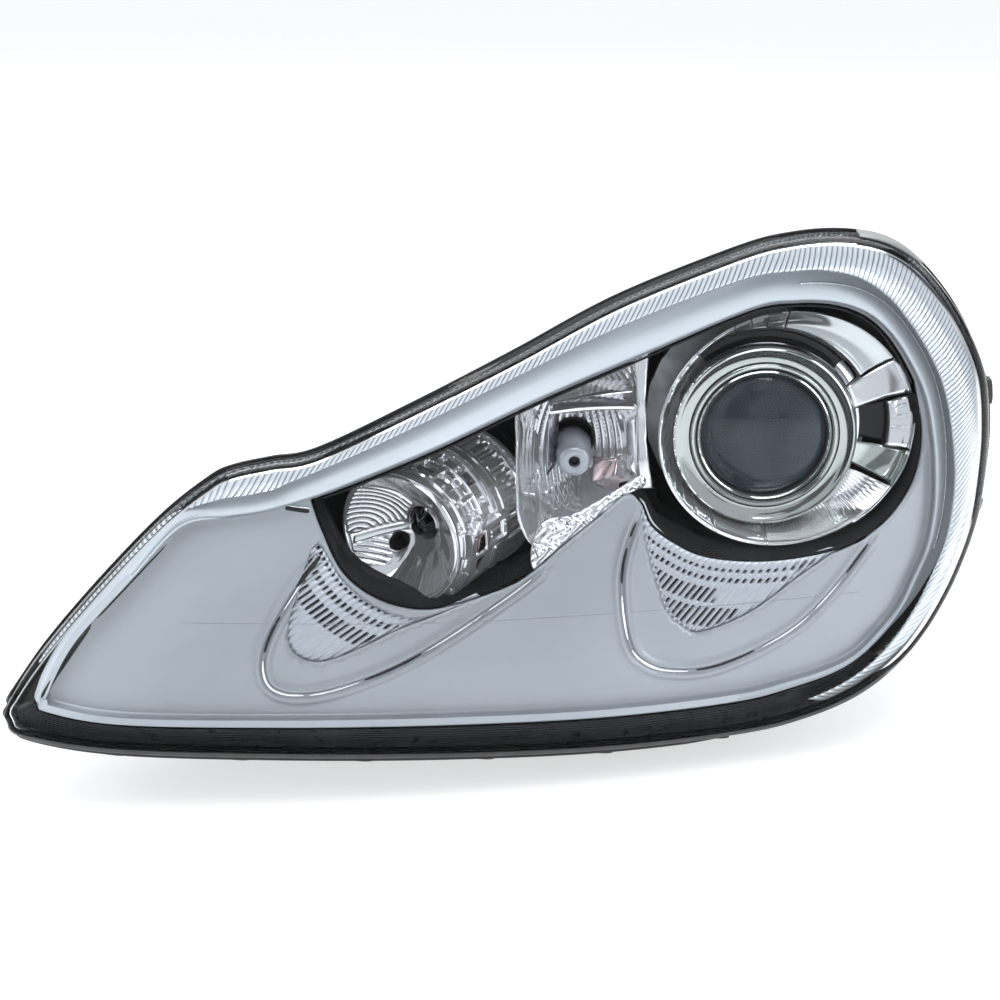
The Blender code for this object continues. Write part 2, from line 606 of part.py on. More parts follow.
def projector():
    c = PROJ
    fwd = Vector((0, -1, 0))
    o = Vector((c.x, 0, c.z))  # heights below are -y
    front = Vector((c.x, 9, c.z))
    turned("projector_lens", [
        (0, -118), (14, -119.2), (25, -122.4), (33, -127.4), (37.6, -132.6), (40, -133), (40, -137.6), (0, -137.6),
    ], front, fwd, GLASS, steps=26)
    turned("lens_retainer", [
        (55.5, -121), (56.2, -123), (56.2, -143), (50.6, -146), (41.5, -146), (41.5, -138.0), (40.35, -138.0), (40.35, -132.6), (38.6, -132.2),
        (38.6, -130), (41.5, -126.5), (45.5, -128), (50, -122.4), (54, -121),
    ], front, fwd, CHROME, steps=26)
    holder = turned("lens_holder", [
        (50.2, -155.35), (50.2, -181), (70, -183), (70, -190), (62, -190), (62, -186.5), (45.0, -180), (45.0, -155.35),
    ], o, fwd, CAST, steps=24)
    for sign, word in ((1, "upper"), (-1, "lower")):
        join(holder, cylinder(f"pin_{word}", (c.x, c.y, c.z + sign * 66), (c.x, c.y, c.z + sign * 91), 3.4, CAST, sides=16))
    cut(holder, cylinder("c_plunger", (c.x, 163, -40), (c.x, 163, -15), 3.8, BLACK, sides=16, cutter=True))
    turned("projector_reflector", [
        (66, -190.35), (66, -194), (60.5, -194), (57, -208), (48, -232), (36, -252), (26, -262), (22.2, -264.5), (20.2, -264.5), (20.2, -262.4), (24.8, -259.8),
        (45.8, -230.6), (57.6, -190.35),
    ], o, fwd, CHROME, steps=26)
    turned("xenon_bulb", [
        (0, -206), (3.2, -208), (4.8, -216), (5.2, -230), (4.8, -244), (8.5, -246), (8.5, -262), (19.4, -263), (19.4, -265.5), (23, -265.6), (23, -271), (17, -272),
        (17, -279.4), (0, -279.4),
    ], o, fwd, GLASS, steps=14)
    turned("bulb_lock_ring", [(28.5, -263), (28.5, -275), (23.4, -275), (23.4, -271.6), (24.0, -271.4), (24.0, -265.2), (27, -263)], o, fwd, ZINC, steps=20)
    igniter = box("igniter", (c.x, 291, c.z), (44, 22, 40), ZINC, 2.5)
    cylinder("shutter_shaft", (c.x - 34.6, 170, -2), (c.x + 34.6, 170, -2), 1.8, STEEL, sides=14)
    plate = extruded("cutoff_shutter", [
        (c.x - 30, 3), (c.x + 30, 3), (c.x + 34, 18), (c.x + 30, 21.5), (c.x + 6, 21.5), (c.x, 24.5), (c.x - 30, 24.5), (c.x - 34, 18),
    ], 168.9, 170.9, BLACK)
    sleeve = cylinder("sh_sleeve", (c.x - 20, 170, -2), (c.x + 20, 170, -2), 3.8, BLACK, sides=18)
    neck = box("sh_neck", (c.x, 169.9, 2.5), (36, 2, 7), BLACK)
    tail = box("sh_tail", (c.x, 163.5, -2.0), (12, 11, 2.4), BLACK)
    join(plate, sleeve, neck, tail)
    cut(plate, cylinder("c_shaft", (c.x - 30, 170, -2), (c.x + 30, 170, -2), 2.2, BLACK, sides=14, cutter=True))
    coil = bpy.data.curves.new("shutter_return_spring", "CURVE")
    coil.dimensions = "3D"
    coil.bevel_depth = 0.45 * MM
    coil.bevel_resolution = 0
    coil.use_fill_caps = True
    wire = coil.splines.new("POLY")
    turns, per = 3, 8
    wire.points.add(turns * per)
    for k in range(turns * per + 1):
        a = math.tau * k / per
        wire.points[k].co = (*at((c.x + 22.0 + 8.0 * k / (turns * per), 170 + 3.2 * math.cos(a), -2 + 3.2 * math.sin(a))), 1)
    spring = bpy.data.objects.new("shutter_return_spring", coil)
    COLLECTION.objects.link(spring)
    coil.materials.append(material("shutter_return_spring", *STEEL))
    solenoid = cylinder("shutter_solenoid", (c.x, 163, -58), (c.x, 163, -29.7), 7.2, ZINC, sides=20)
    cut(solenoid, cylinder("c_solenoid", (c.x, 163, -50), (c.x, 163, -20), 2.8, BLACK, sides=14, cutter=True))
    turned("solenoid_plunger", [(2.2, -6.2), (2.2, -44), (0, -44), (0, -3.6), (0.6, -3.7)], (c.x, 163, 0), (0, 0, 1), STEEL, steps=14)

    # chrome shroud round the lens: oval rim that follows the outer lens, round back on the retainer
    def rim_ring(outer, extra):
        ring = []
        for k in range(36):
            a = math.tau * k / 36
            x = 176 + (81 + outer) * math.cos(a)
            z = 28 + (67 + outer) * math.sin(a)
            ring.append((x, 132 + (x - 176) * 0.30 + (z - 28) * 0.28 + extra, z))
        return ring

    def round_ring(radius, depth, share):
        ring = []
        for (x, y, z), k in zip(rim_ring(0, 0), range(36)):
            a = math.tau * k / 36
            ring.append((c.x + radius * math.cos(a) + share * (x - c.x), depth, c.z + radius * math.sin(a) + share * (z - c.z)))
        return ring

    shell_of_rings("projector_shroud", [
        rim_ring(0, 0), rim_ring(-0.6, 5.0), round_ring(60, 151, 0.12), round_ring(58.8, 154.2, 0),
        round_ring(56.9, 154.2, 0), round_ring(56.9, 150, 0), round_ring(57.6, 143, 0.04), rim_ring(-3.0, 0.6),
    ], CHROME, cap_ends=False, closed_loop=True)


def ring_plate(name, centre, outer, inner, front, back, finish):
    return turned(name, [(outer, -front), (outer, -back), (inner, -back), (inner, -front)], (centre.x, 0, centre.z), (0, -1, 0), finish, steps=32)


def carrier():
    body = ring_plate("carrier_frame", PROJ, 96, 84.5, 184, 193, BLACK)
    arm = box("cf_arm", (39, 188.5, -36), (122, 9, 14), BLACK)
    lug = box("cf_lug", (69, 184, 58), (48, 12, 28), BLACK)
    tie = box("cf_tie", (42, 187, -62), (32, 18, 42), BLACK)
    boss_u = box("cf_boss_u", (PROJ.x, PROJ.y, PROJ.z + 86), (20, 14, 11), BLACK)
    boss_l = box("cf_boss_l", (PROJ.x, PROJ.y, PROJ.z - 86), (20, 14, 11), BLACK)
    lug_h = box("cf_lug_h", (242, 196.5, 58), (18, 17, 20), BLACK)
    down = (Vector((0, 0, -1)) + RING_OUT * RING_OUT.z).normalized()
    foot = RING - RING_OUT * 74.4 + down * 24
    post = cylinder("cf_post", foot - RING_OUT * 62, foot, 6, BLACK, sides=12)
    tray = box("cf_tray", (PROJ.x, 178, -86), (40, 28, 5), BLACK)
    web = box("cf_web", (PROJ.x, 188.5, -76), (40, 9, 24), BLACK)
    join(body, arm, tie, lug, boss_u, boss_l, lug_h, post, tray, web)
    cut(
        body,
        cylinder("c_socket", (AIM.x, 170, AIM.z), (AIM.x, 200, AIM.z), 11.6, BLACK, sides=24, cutter=True),
        cylinder("c_socket_pins", (AIM.x - 17.5, AIM.y, AIM.z), (AIM.x + 17.5, AIM.y, AIM.z), 3.4, BLACK, sides=16, cutter=True),
        cylinder("c_swivel", (PROJ.x, PROJ.y, PROJ.z - 94), (PROJ.x, PROJ.y, PROJ.z + 94), 3.8, BLACK, sides=16, cutter=True),
        box("c_fork_v", (KNOB_V.x, 187, KNOB_V.z), (15, 10, 60), BLACK, cutter=True),
        box("c_shroud_relief", (249, 183.6, 58), (32, 6, 36), BLACK, cutter=True),  # room for the shroud's edge at full swivel
        box("c_fork_v_rod", (KNOB_V.x, 194, KNOB_V.z), (9, 12, 60), BLACK, cutter=True),
        box("c_fork_h", (KNOB_H.x + 6, 195, KNOB_H.z), (30, 10, 13), BLACK, cutter=True),
        box("c_fork_h_rod", (KNOB_H.x + 6, 202, KNOB_H.z), (30, 12, 8.4), BLACK, cutter=True),
    )
    box("swivel_actuator", (PROJ.x, 177, -99), (52, 34, 20), BLACK, 2)


def aiming():
    stud = turned("ball_stud", [
        (0, 6.6), (4.6, 4.7), (6.6, 0), (5.4, -3.8), (3.6, -5.5), (3.6, -20), (6.5, -20), (6.5, -27.2), (4.2, -27.2), (4.2, -40), (0, -40),
    ], AIM, (0, -1, 0), STEEL, steps=20)
    socket = turned("ball_socket", [(11, 8.5), (11, -5), (8.4, -5), (7.4, -3.0), (7.4, 3.2), (5.2, 5.8), (0, 7.4), (0, 8.5)], AIM, (0, -1, 0), NYLON, steps=24)
    for sign in (1, -1):
        join(socket, cylinder(f"socket_pin_{'lr'[sign > 0]}", (AIM.x + sign * 8.8, AIM.y, AIM.z), (AIM.x + sign * 17, AIM.y, AIM.z), 3, NYLON, sides=14))
    # levelling motor with its manual screw
    k = KNOB_V
    motor = turned("levelling_motor", [
        (16.4, 8), (16.4, -5.6), (18.8, -5.6), (18.8, -24), (16, -27), (7.4, -27), (7.4, -24.5), (3.6, -24.5), (3.6, 8),
    ], (k.x, 210, k.z), (0, -1, 0), BLACK, steps=20)
    turned("level_rod", [(0, 4), (3.4, 3), (4, 0), (3.2, -2.6), (2.6, -3.4), (2.6, -32), (3.1, -32), (3.1, -44), (0, -44)], (k.x, 187, k.z), (0, -1, 0), NYLON, steps=16)
    turned("vertical_aim_knob", [(6.9, -27.6), (6.9, -35), (6.2, -36), (0, -36), (0, -25.1), (6.9, -25.1)], (k.x, 210, k.z), (0, -1, 0), NYLON, steps=12)
    h = KNOB_H
    turned("horizontal_aim_bush", [(6.2, 6), (6.2, -4.35), (10, -4.35), (10, -8), (3.6, -8), (3.6, 6)], (h.x, 316, h.z), (0, -1, 0), NYLON, steps=20)
    turned("horizontal_aim_rod", [(0, 4), (3.4, 3), (4, 0), (3.2, -2.6), (2.6, -3.4), (2.6, -122), (0, -122)], (h.x, 195, h.z), (0, -1, 0), STEEL, steps=16)
    turned("horizontal_aim_knob", [(8, -8.6), (8, -18), (7, -19), (0, -19), (0, -8.6)], (h.x, 316, h.z), (0, -1, 0), NYLON, steps=12)


def turn_signal():
    front = [(30, 57), (44, 64), (58, 71), (72, 76), (82, 78), (82, 64), (83, 46), (84, 28), (84, 12), (80, 2), (68, -8), (54, -18), (42, -28), (34, -34), (29, -24), (28, -4), (28, 16), (29, 36)]
    count = len(front)

    def ring(share, offset, depth):
        pts = []
        for k, (x, z) in enumerate(offset_outline(front, offset)):
            a = math.atan2(z - TURN.z, x - TURN.x)
            r = 20.0 + offset
            bx, bz = TURN.x + r * math.cos(a), TURN.z + r * math.sin(a)
            pts.append((x + (bx - x) * share, (face_depth(x, z) + 27) * (1 - share) + depth * share, z + (bz - z) * share))
        return pts

    body = shell_of_rings("turn_reflector", [
        ring(0, 0, 150), ring(0.35, 0, 150), ring(0.75, 0, 150), ring(1, 0, 150), [(x, 158, z) for x, y, z in ring(1, 0, 150)],
        [(x, 158, z) for x, y, z in ring(1, -2.0, 150)], ring(1, -2.0, 148.5), ring(0.75, -2.0, 148), ring(0.35, -2.0, 148), ring(0, -2.0, 150),
    ], CHROME, cap_ends=False, closed_loop=True)
    o = (TURN.x, 0, TURN.z)
    turned("turn_bulb_shield", [(9.2, -97), (10, -98), (11.5, -135), (15.0, -150), (15.0, -152), (13.0, -152), (10, -136), (8.2, -99.5), (3.4, -99), (3.4, -97)], o, (0, -1, 0), GREY_PAINT, steps=18)
    turned("turn_bulb", [(0, -106), (4, -108), (7, -113), (7.2, -124), (6, -132), (6, -146), (8, -147), (8, -170), (0, -170)], o, (0, -1, 0), GLASS, steps=14)
    turned("turn_socket", [(14, -165), (14, -218), (19, -218.6), (19, -224), (12, -225), (12, -240), (0, -240), (0, -171), (9, -171), (9, -165)], o, (0, -1, 0), BLACK, steps=24)
    turned("turn_socket_seal", [(18, -215.4), (18, -217.7), (14.4, -217.7), (14.4, -215.4)], o, (0, -1, 0), RUBBER, steps=24)


def caps():
    for name, x, z, back, radius in (("low_beam", PROJ.x, PROJ.z, BACK_OUTER, 54), ("high_beam", HIGH.x, HIGH.z, BACK_INNER, 37)):
        y = back + 9
        turned(f"{name}_cap_seal", [(radius + 5, -(y + 0.4)), (radius + 5, -(y + 3)), (radius + 0.6, -(y + 3)), (radius + 0.6, -(y + 0.4))], (x, 0, z), (0, -1, 0), RUBBER, steps=24)
        cap = turned(f"{name}_cap", [
            (radius + 7, -(y + 3.4)), (radius + 7, -(y + 11)), (radius + 5, -(y + 12)), (radius - 10, -(y + 12)), (radius - 14, -(y + 5)), (0, -(y + 5)),
            (0, -(y + 2.4)), (radius - 12.5, -(y + 2.4)), (radius - 8, -(y + 9)), (radius - 4, -(y + 9)), (radius - 4, -(y - 7)), (radius - 1.2, -(y - 7)), (radius - 1.2, -(y + 3.4)),
        ], (x, 0, z), (0, -1, 0), BLACK, steps=24)
        join(cap, box(f"{name}_grip", (x, y + 10, z), (2 * radius - 34, 10.5, 7), BLACK))


def hardware():
    box_y = BACK_OUTER
    ballast = box("ballast", (174, box_y + 15.6, -88), (124, 30, 62), ZINC, 3)
    for n, (x, z) in enumerate(((118, -112), (230, -64)), 1):
        screw = cylinder(f"ballast_screw_{n}", (x, box_y + 30.9, z), (x, box_y + 34.5, z), 4.6, STEEL, sides=14)
    socket = box("main_connector", (-112, BACK_INNER + 9, -88), (54, 17.3, 38), BLACK, 1.5)
    nose = box("mc_nose", (-112, BACK_INNER - 3, -88), (40, 24, 24), BLACK)
    join(socket, nose)
    cut(socket, box("c_mc", (-112, BACK_INNER + 16.5, -88), (44, 24, 27), BLACK, cutter=True))
    shoe = box("mounting_shoe", (60, 160, -167.425), (112, 78, 21.15), BLACK, 2)
    for n, (x, y, z) in enumerate(((-160, 238, -67), (252, 339, -30)), 1):
        sleeve = turned(f"mounting_bushing_{n}", [(6.0, 4.6), (6.0, -4.6), (3.6, -4.6), (3.6, 4.6)], (x, y, z), (0, 0, 1), STEEL, steps=18)
        # angle bracket on the housing's back: a foot against the wall and a lug that stands out from it
        wall = (BACK_INNER, BACK_OUTER)[n - 1]
        foot = box(f"mounting_lug_{n}", (x, wall + 2.85, z - 8), (30, 5, 34), BLACK, 1)
        join(foot, box(f"lug_shelf_{n}", (x, (wall + 3 + y + 11) / 2, z), (28, y + 8 - wall, 8), BLACK))
        cut(foot, cylinder(f"c_lug_{n}", (x, y, z - 14), (x, y, z + 16), 6.4, BLACK, sides=20, cutter=True))
    # latch that locks the lamp in its rail
    turned("latch_pin", [(6, -BACK_INNER - 17.2), (6, -BACK_INNER - 20), (0, -BACK_INNER - 20), (0, -BACK_INNER + 1.6), (3, -BACK_INNER + 1.6), (3, -BACK_INNER - 17.2)], (-192, 0, -66), (0, -1, 0), STEEL, steps=16)
    lever = box("latch_lever", (-192, BACK_INNER + 10, -86), (17, 8, 66), BLACK, 2)
    hub = cylinder("ll_hub", (-192, BACK_INNER + 3.5, -66), (-192, BACK_INNER + 16.6, -66), 11, BLACK, sides=24)
    join(lever, hub)
    cut(lever, cylinder("c_latch", (-192, BACK_INNER - 2, -66), (-192, BACK_INNER + 30, -66), 3.5, BLACK, sides=16, cutter=True))
    # vents
    for n, (x, z) in enumerate(((10, -96), (-92, -20)), 1):
        cylinder(f"vent_cap_{n}", (x, BACK_INNER + 0.4, z), (x, BACK_INNER + 9, z), 9, RUBBER, 7.5, sides=20)


def corner_guide():
    """Grey strip behind the lens's upper outboard corner, which carries the wing's edge."""
    path = [i for i in range(STATIONS) if OUT[i].y > 0.30 and RIM[i].x > 228 or (OUT[i].x > 0.3 and RIM[i].y > 62)]
    rings = []
    for i in path:
        base = face_depth(RIM[i].x, RIM[i].y) + rim_height(i)
        a = RIM[i] + OUT[i] * (3.9 + 2.2 * smooth_step((OUT[i].x - 0.3) / 0.5))
        b = a + OUT[i] * 3.4
        rings.append([(a.x, base - 12, a.y), (b.x, base - 10, b.y), (b.x, base + 16, b.y), (a.x, base + 16, a.y)])
    bm = bmesh.new()
    made = [[bm.verts.new(at(p)) for p in ring] for ring in rings]
    for first, second in zip(made, made[1:]):
        for k in range(4):
            bm.faces.new((first[k], first[(k + 1) % 4], second[(k + 1) % 4], second[k]))
    bm.faces.new(made[0])
    bm.faces.new(made[-1])
    bmesh.ops.recalc_face_normals(bm, faces=bm.faces)
    mesh = bpy.data.meshes.new("corner_guide")
    bm.to_mesh(mesh)
    bm.free()
    return add("corner_guide", mesh, GREY_PAINT)


housing()
lens()
seal()
bezel()
surrounds()
louvre("outer_louvre_panel", TEAR_OUT, 10, 0.6)
louvre("inner_louvre_panel", TEAR_IN, 10, 0.6)
turn_signal()
aux_lamp()
projector()
carrier()
aiming()
caps()
hardware()
corner_guide()
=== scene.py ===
"""Looks for the car headlight assembly: finished lens, bezel, reflectors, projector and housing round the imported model.

Design axes in millimetres, as in the CAD: +X outboard, -Y forward out of the lens, +Z up."""

import json
import math
import random

import bmesh
import bpy
import numpy as np
from mathutils import Matrix, Vector
from mathutils.geometry import delaunay_2d_cdt

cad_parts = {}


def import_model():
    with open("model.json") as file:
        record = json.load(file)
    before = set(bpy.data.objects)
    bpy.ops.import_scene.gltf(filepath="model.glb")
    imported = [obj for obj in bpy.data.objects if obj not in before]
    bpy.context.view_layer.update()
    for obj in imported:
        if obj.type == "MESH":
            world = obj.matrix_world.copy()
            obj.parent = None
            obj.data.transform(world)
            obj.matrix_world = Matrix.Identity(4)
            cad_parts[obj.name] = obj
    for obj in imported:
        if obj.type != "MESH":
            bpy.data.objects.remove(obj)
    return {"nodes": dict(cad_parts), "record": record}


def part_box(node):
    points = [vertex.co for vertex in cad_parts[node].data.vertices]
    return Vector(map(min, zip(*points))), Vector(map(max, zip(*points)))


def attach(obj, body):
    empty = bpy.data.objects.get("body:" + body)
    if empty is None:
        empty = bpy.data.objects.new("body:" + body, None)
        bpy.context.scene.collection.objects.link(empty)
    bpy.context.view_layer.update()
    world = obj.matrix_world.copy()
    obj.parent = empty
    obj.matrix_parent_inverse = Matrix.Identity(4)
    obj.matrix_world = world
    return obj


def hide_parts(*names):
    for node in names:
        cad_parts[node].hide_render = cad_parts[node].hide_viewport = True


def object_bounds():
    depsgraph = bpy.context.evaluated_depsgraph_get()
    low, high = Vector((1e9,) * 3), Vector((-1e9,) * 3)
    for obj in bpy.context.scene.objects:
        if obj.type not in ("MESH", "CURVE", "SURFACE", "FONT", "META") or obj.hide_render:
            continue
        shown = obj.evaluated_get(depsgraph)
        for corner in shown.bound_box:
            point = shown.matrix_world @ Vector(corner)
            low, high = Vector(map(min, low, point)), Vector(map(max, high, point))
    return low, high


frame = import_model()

random.seed(7)
CAD_BOX = [list(v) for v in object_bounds()]

# ------------------------------------------------------------------ frame
low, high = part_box("mounting_shoe")
SEAT = np.array([(low.x + high.x) / 2, (low.y + high.y) / 2, low.z])  # design point (60, 160, -178)
SEAT_MM = np.array([60.0, 160.0, -178.0])


def world(points):
    return (np.asarray(points, float).reshape(-1, 3) - SEAT_MM) * 0.001 + SEAT


def at(x, y, z):
    return Vector(world([(x, y, z)])[0])


def design(corner):
    return (np.array(corner) - SEAT) * 1000 + SEAT_MM


def middle(node):
    a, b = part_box(node)
    return design((a + b) / 2)


BACK_INNER = float(design(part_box("vent_cap_1")[0])[1]) - 0.4  # the housing's two flat backs
BACK_OUTER = float(design(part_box("ballast")[0])[1]) - 0.6
PROJ = middle("projector_lens")
PROJ[1] = 186.0
RING = np.array([-59.3, 75.0, -25.3])
RING_OUT = np.array([-0.528, -0.817, -0.109])
RING_OUT /= np.linalg.norm(RING_OUT)
TURN = middle("turn_socket_seal")
TURN[1] = 150.0
KNOB_V = middle("vertical_aim_knob")
KNOB_H = middle("horizontal_aim_knob")
AIM = middle("ball_socket")
HIGH = middle("high_beam_cap")

# ------------------------------------------------------------------ camera
camera_data = bpy.data.cameras.new("camera")
camera = bpy.data.objects.new("camera", camera_data)
bpy.context.scene.collection.objects.link(camera)
camera_data.sensor_width = 36
camera_data.lens = 36 / 0.59 * 1.4
camera_data.clip_end = 60
ELEV = math.radians(18)
camera.location = at(0, 70 - 1400 * math.cos(ELEV), 1400 * math.sin(ELEV))
camera.rotation_euler = (math.pi / 2 - ELEV, 0, 0)
bpy.context.scene.camera = camera


# ------------------------------------------------------------------ materials
class Shader:
    """A node material, built from short calls."""

    def __init__(self, name):
        self.made = bpy.data.materials.new(name)
        self.made.use_nodes = True
        self.tree = self.made.node_tree
        self.nodes, self.links = self.tree.nodes, self.tree.links
        self.bsdf = self.nodes["Principled BSDF"]
        self.out = self.nodes["Material Output"]

    def new(self, kind, **settings):
        node = self.nodes.new(kind)
        for key, value in settings.items():
            setattr(node, key, value)
        return node

    def feed(self, source, node, socket):
        if isinstance(source, (int, float)):
            node.inputs[socket].default_value = source
        elif isinstance(source, tuple):
            node.inputs[socket].default_value = source if len(source) != 3 or node.inputs[socket].type == "VECTOR" else (*source, 1.0)
        else:
            self.links.new(source, node.inputs[socket])

    def noise(self, scale, detail=3.0, rough=0.5, stretch=None, distortion=0.0):
        where = self.new("ShaderNodeTexCoord").outputs["Object"]
        if stretch:
            mapping = self.new("ShaderNodeMapping")
            mapping.inputs["Scale"].default_value = stretch
            self.links.new(where, mapping.inputs["Vector"])
            where = mapping.outputs["Vector"]
        node = self.new("ShaderNodeTexNoise")
        self.links.new(where, node.inputs["Vector"])
        node.inputs["Scale"].default_value = scale
        node.inputs["Detail"].default_value = detail
        node.inputs["Roughness"].default_value = rough
        node.inputs["Distortion"].default_value = distortion
        return node.outputs["Fac"]

    def voronoi(self, scale, feature="F1"):
        where = self.new("ShaderNodeTexCoord").outputs["Object"]
        node = self.new("ShaderNodeTexVoronoi", feature=feature)
        self.links.new(where, node.inputs["Vector"])
        node.inputs["Scale"].default_value = scale
        return node.outputs["Distance"]

    def ramp(self, source, stops, interpolation="LINEAR"):
        node = self.new("ShaderNodeValToRGB")
        node.color_ramp.interpolation = interpolation
        while len(node.color_ramp.elements) < len(stops):
            node.color_ramp.elements.new(0.5)
        for element, (where, colour) in zip(node.color_ramp.elements, stops):
            element.position = where
            element.color = (*colour, 1.0) if isinstance(colour, tuple) else (colour, colour, colour, 1.0)
        self.links.new(source, node.inputs["Fac"])
        return node.outputs["Color"]

    def span(self, source, low_value, high_value, from_low=0.3, from_high=0.7):
        node = self.new("ShaderNodeMapRange")
        node.inputs["From Min"].default_value = from_low
        node.inputs["From Max"].default_value = from_high
        node.inputs["To Min"].default_value = low_value
        node.inputs["To Max"].default_value = high_value
        self.links.new(source, node.inputs["Value"])
        return node.outputs["Result"]

    def mix(self, factor, first, second):
        node = self.new("ShaderNodeMix", data_type="RGBA")
        self.feed(factor, node, 0)
        self.feed(first, node, 6)
        self.feed(second, node, 7)
        return node.outputs[2]

    def attribute(self, name):
        node = self.new("ShaderNodeAttribute", attribute_name=name)
        return node.outputs["Fac"]

    def bump(self, source, strength, distance=0.001, normal=None):
        node = self.new("ShaderNodeBump")
        node.inputs["Strength"].default_value = strength
        node.inputs["Distance"].default_value = distance
        self.links.new(source, node.inputs["Height"])
        if normal is not None:
            self.links.new(normal, node.inputs["Normal"])
        return node.outputs["Normal"]

    def set(self, **inputs):
        for key, value in inputs.items():
            self.feed(value, self.bsdf, key.replace("_", " "))
        return self


def plastic_black(name="moulded_black", base=0.013, grain=1.0):
    s = Shader(name)
    tone = s.ramp(s.noise(40, 4), [(0.3, (base * 0.7,) * 3), (0.7, (base * 1.5, base * 1.5, base * 1.6))])
    fine = s.noise(1400, 2, 0.6)
    s.set(Base_Color=tone, Roughness=s.span(s.noise(60, 3), 0.38, 0.56), Normal=s.bump(fine, 0.25 * grain, 0.0003), Specular_IOR_Level=0.45)
    return s.made


def metal(name, base, rough, wave=0.0, brushed=None, speck=0.0, coat=0.0, metallic=1.0):
    s = Shader(name)
    b = base if isinstance(base, tuple) else (base,) * 3
    tone = s.ramp(s.noise(25, 4), [(0.25, tuple(c * 0.93 for c in b)), (0.75, tuple(min(c * 1.04, 1) for c in b))])
    if speck:
        tone = s.mix(s.span(s.noise(2600, 1), 0.0, speck, 0.5, 0.75), tone, (1.0, 1.0, 1.0))
    source = s.noise(90 if not brushed else 420, 4, 0.6, brushed)
    s.set(Base_Color=tone, Metallic=metallic, Roughness=s.span(source, rough * 0.75, rough * 1.35))
    normal = None
    if wave:
        normal = s.bump(s.noise(18, 2), wave, 0.002)
    if brushed:
        normal = s.bump(source, 0.08, 0.0002, normal)
    if normal is not None:
        s.feed(normal, s.bsdf, "Normal")
    if coat:
        s.set(Coat_Weight=coat, Coat_Roughness=0.08)
    return s.made


def clear_plastic(name, tint=(0.97, 0.98, 0.99), gloss=0.035, ior=1.5):
    """Thin clear wall: lets light straight through and reflects by Fresnel."""
    s = Shader(name)
    clear = s.new("ShaderNodeBsdfTransparent")
    clear.inputs["Color"].default_value = (*tint, 1)
    shine = s.new("ShaderNodeBsdfGlossy")
    shine.inputs["Color"].default_value = (1, 1, 1, 1)
    s.links.new(s.span(s.noise(30, 3), gloss * 0.6, gloss * 1.6), shine.inputs["Roughness"])
    fresnel = s.new("ShaderNodeFresnel")
    fresnel.inputs["IOR"].default_value = ior
    join = s.new("ShaderNodeMixShader")
    s.links.new(fresnel.outputs[0], join.inputs[0])
    s.links.new(clear.outputs[0], join.inputs[1])
    s.links.new(shine.outputs[0], join.inputs[2])
    s.links.new(join.outputs[0], s.out.inputs["Surface"])
    s.nodes.remove(s.bsdf)
    return s.made


def satin_bezel():
    s = Shader("satin_silver_coating")
    flake = s.noise(3800, 1, 0.5)
    cloud = s.noise(5, 3)
    tone = s.ramp(cloud, [(0.3, (0.33, 0.35, 0.37)), (0.7, (0.42, 0.44, 0.465))])
    tone = s.mix(s.span(flake, 0.0, 0.2, 0.45, 0.7), tone, (0.7, 0.73, 0.77))
    s.set(Base_Color=tone, Metallic=0.38, Roughness=s.span(s.noise(140, 3), 0.36, 0.46), Normal=s.bump(flake, 0.05, 0.0001),
          Coat_Weight=0.15, Coat_Roughness=0.25)
    return s.made


def fluted_optic():
    s = Shader("fluted_clear_plastic_painted_shade")
    rib, across = s.attribute("rib"), s.attribute("across")
    # the grooves between the ribs are painted dark and the ridges light: painted shade of the flutes
    tone = s.ramp(rib, [(0.0, (0.05, 0.06, 0.07)), (0.22, (0.22, 0.25, 0.28)), (0.5, (0.58, 0.62, 0.65)), (1.0, (0.74, 0.77, 0.80))])
    # the band is painted darker towards its outer edge: painted shade along the rim
    rim = s.ramp(across, [(0.0, 1.0), (0.8, 1.0), (0.93, 0.8), (0.985, 0.3), (1.0, 0.2)])
    dark = s.mix(1.0, tone, rim)
    dark.node.blend_type = "MULTIPLY"
    # the weak emission makes the band glow though it is no lamp: painted light
    s.set(Base_Color=dark, Roughness=s.span(s.noise(200, 2), 0.08, 0.2), Metallic=0.35, Specular_IOR_Level=0.8, Coat_Weight=0.5, Coat_Roughness=0.05, Emission_Color=dark, Emission_Strength=0.10)
    glass = s.new("ShaderNodeBsdfTransparent")
    glass.inputs["Color"].default_value = (0.93, 0.95, 0.97, 1)
    join = s.new("ShaderNodeMixShader")
    s.links.new(s.span(rib, 0.03, 0.16, 0.0, 1.0), join.inputs[0])
    s.links.new(s.bsdf.outputs[0], join.inputs[1])
    s.links.new(glass.outputs[0], join.inputs[2])
    s.links.new(join.outputs[0], s.out.inputs["Surface"])
    return s.made


M_BLACK = plastic_black()
M_BLACK_FINE = plastic_black("fine_black_moulding", 0.009, 0.6)
M_LENS = clear_plastic("clear_polycarbonate", ior=1.13)
M_FLUTE = fluted_optic()
M_BEZEL = satin_bezel()


def flange_finish():
    s = Shader("satin_silver_flange")
    tone = s.ramp(s.noise(9, 4), [(0.3, (0.43, 0.463, 0.488)), (0.7, (0.49, 0.524, 0.55))])
    # the weak emission lifts the flange where it faces away from the lamps: painted light
    s.set(Base_Color=tone, Metallic=0.05, Emission_Color=tone, Emission_Strength=0.13, Specular_IOR_Level=0.3, Roughness=s.span(s.noise(140, 3), 0.46, 0.58), Normal=s.bump(s.noise(1600, 2), 0.05, 0.0002))
    return s.made


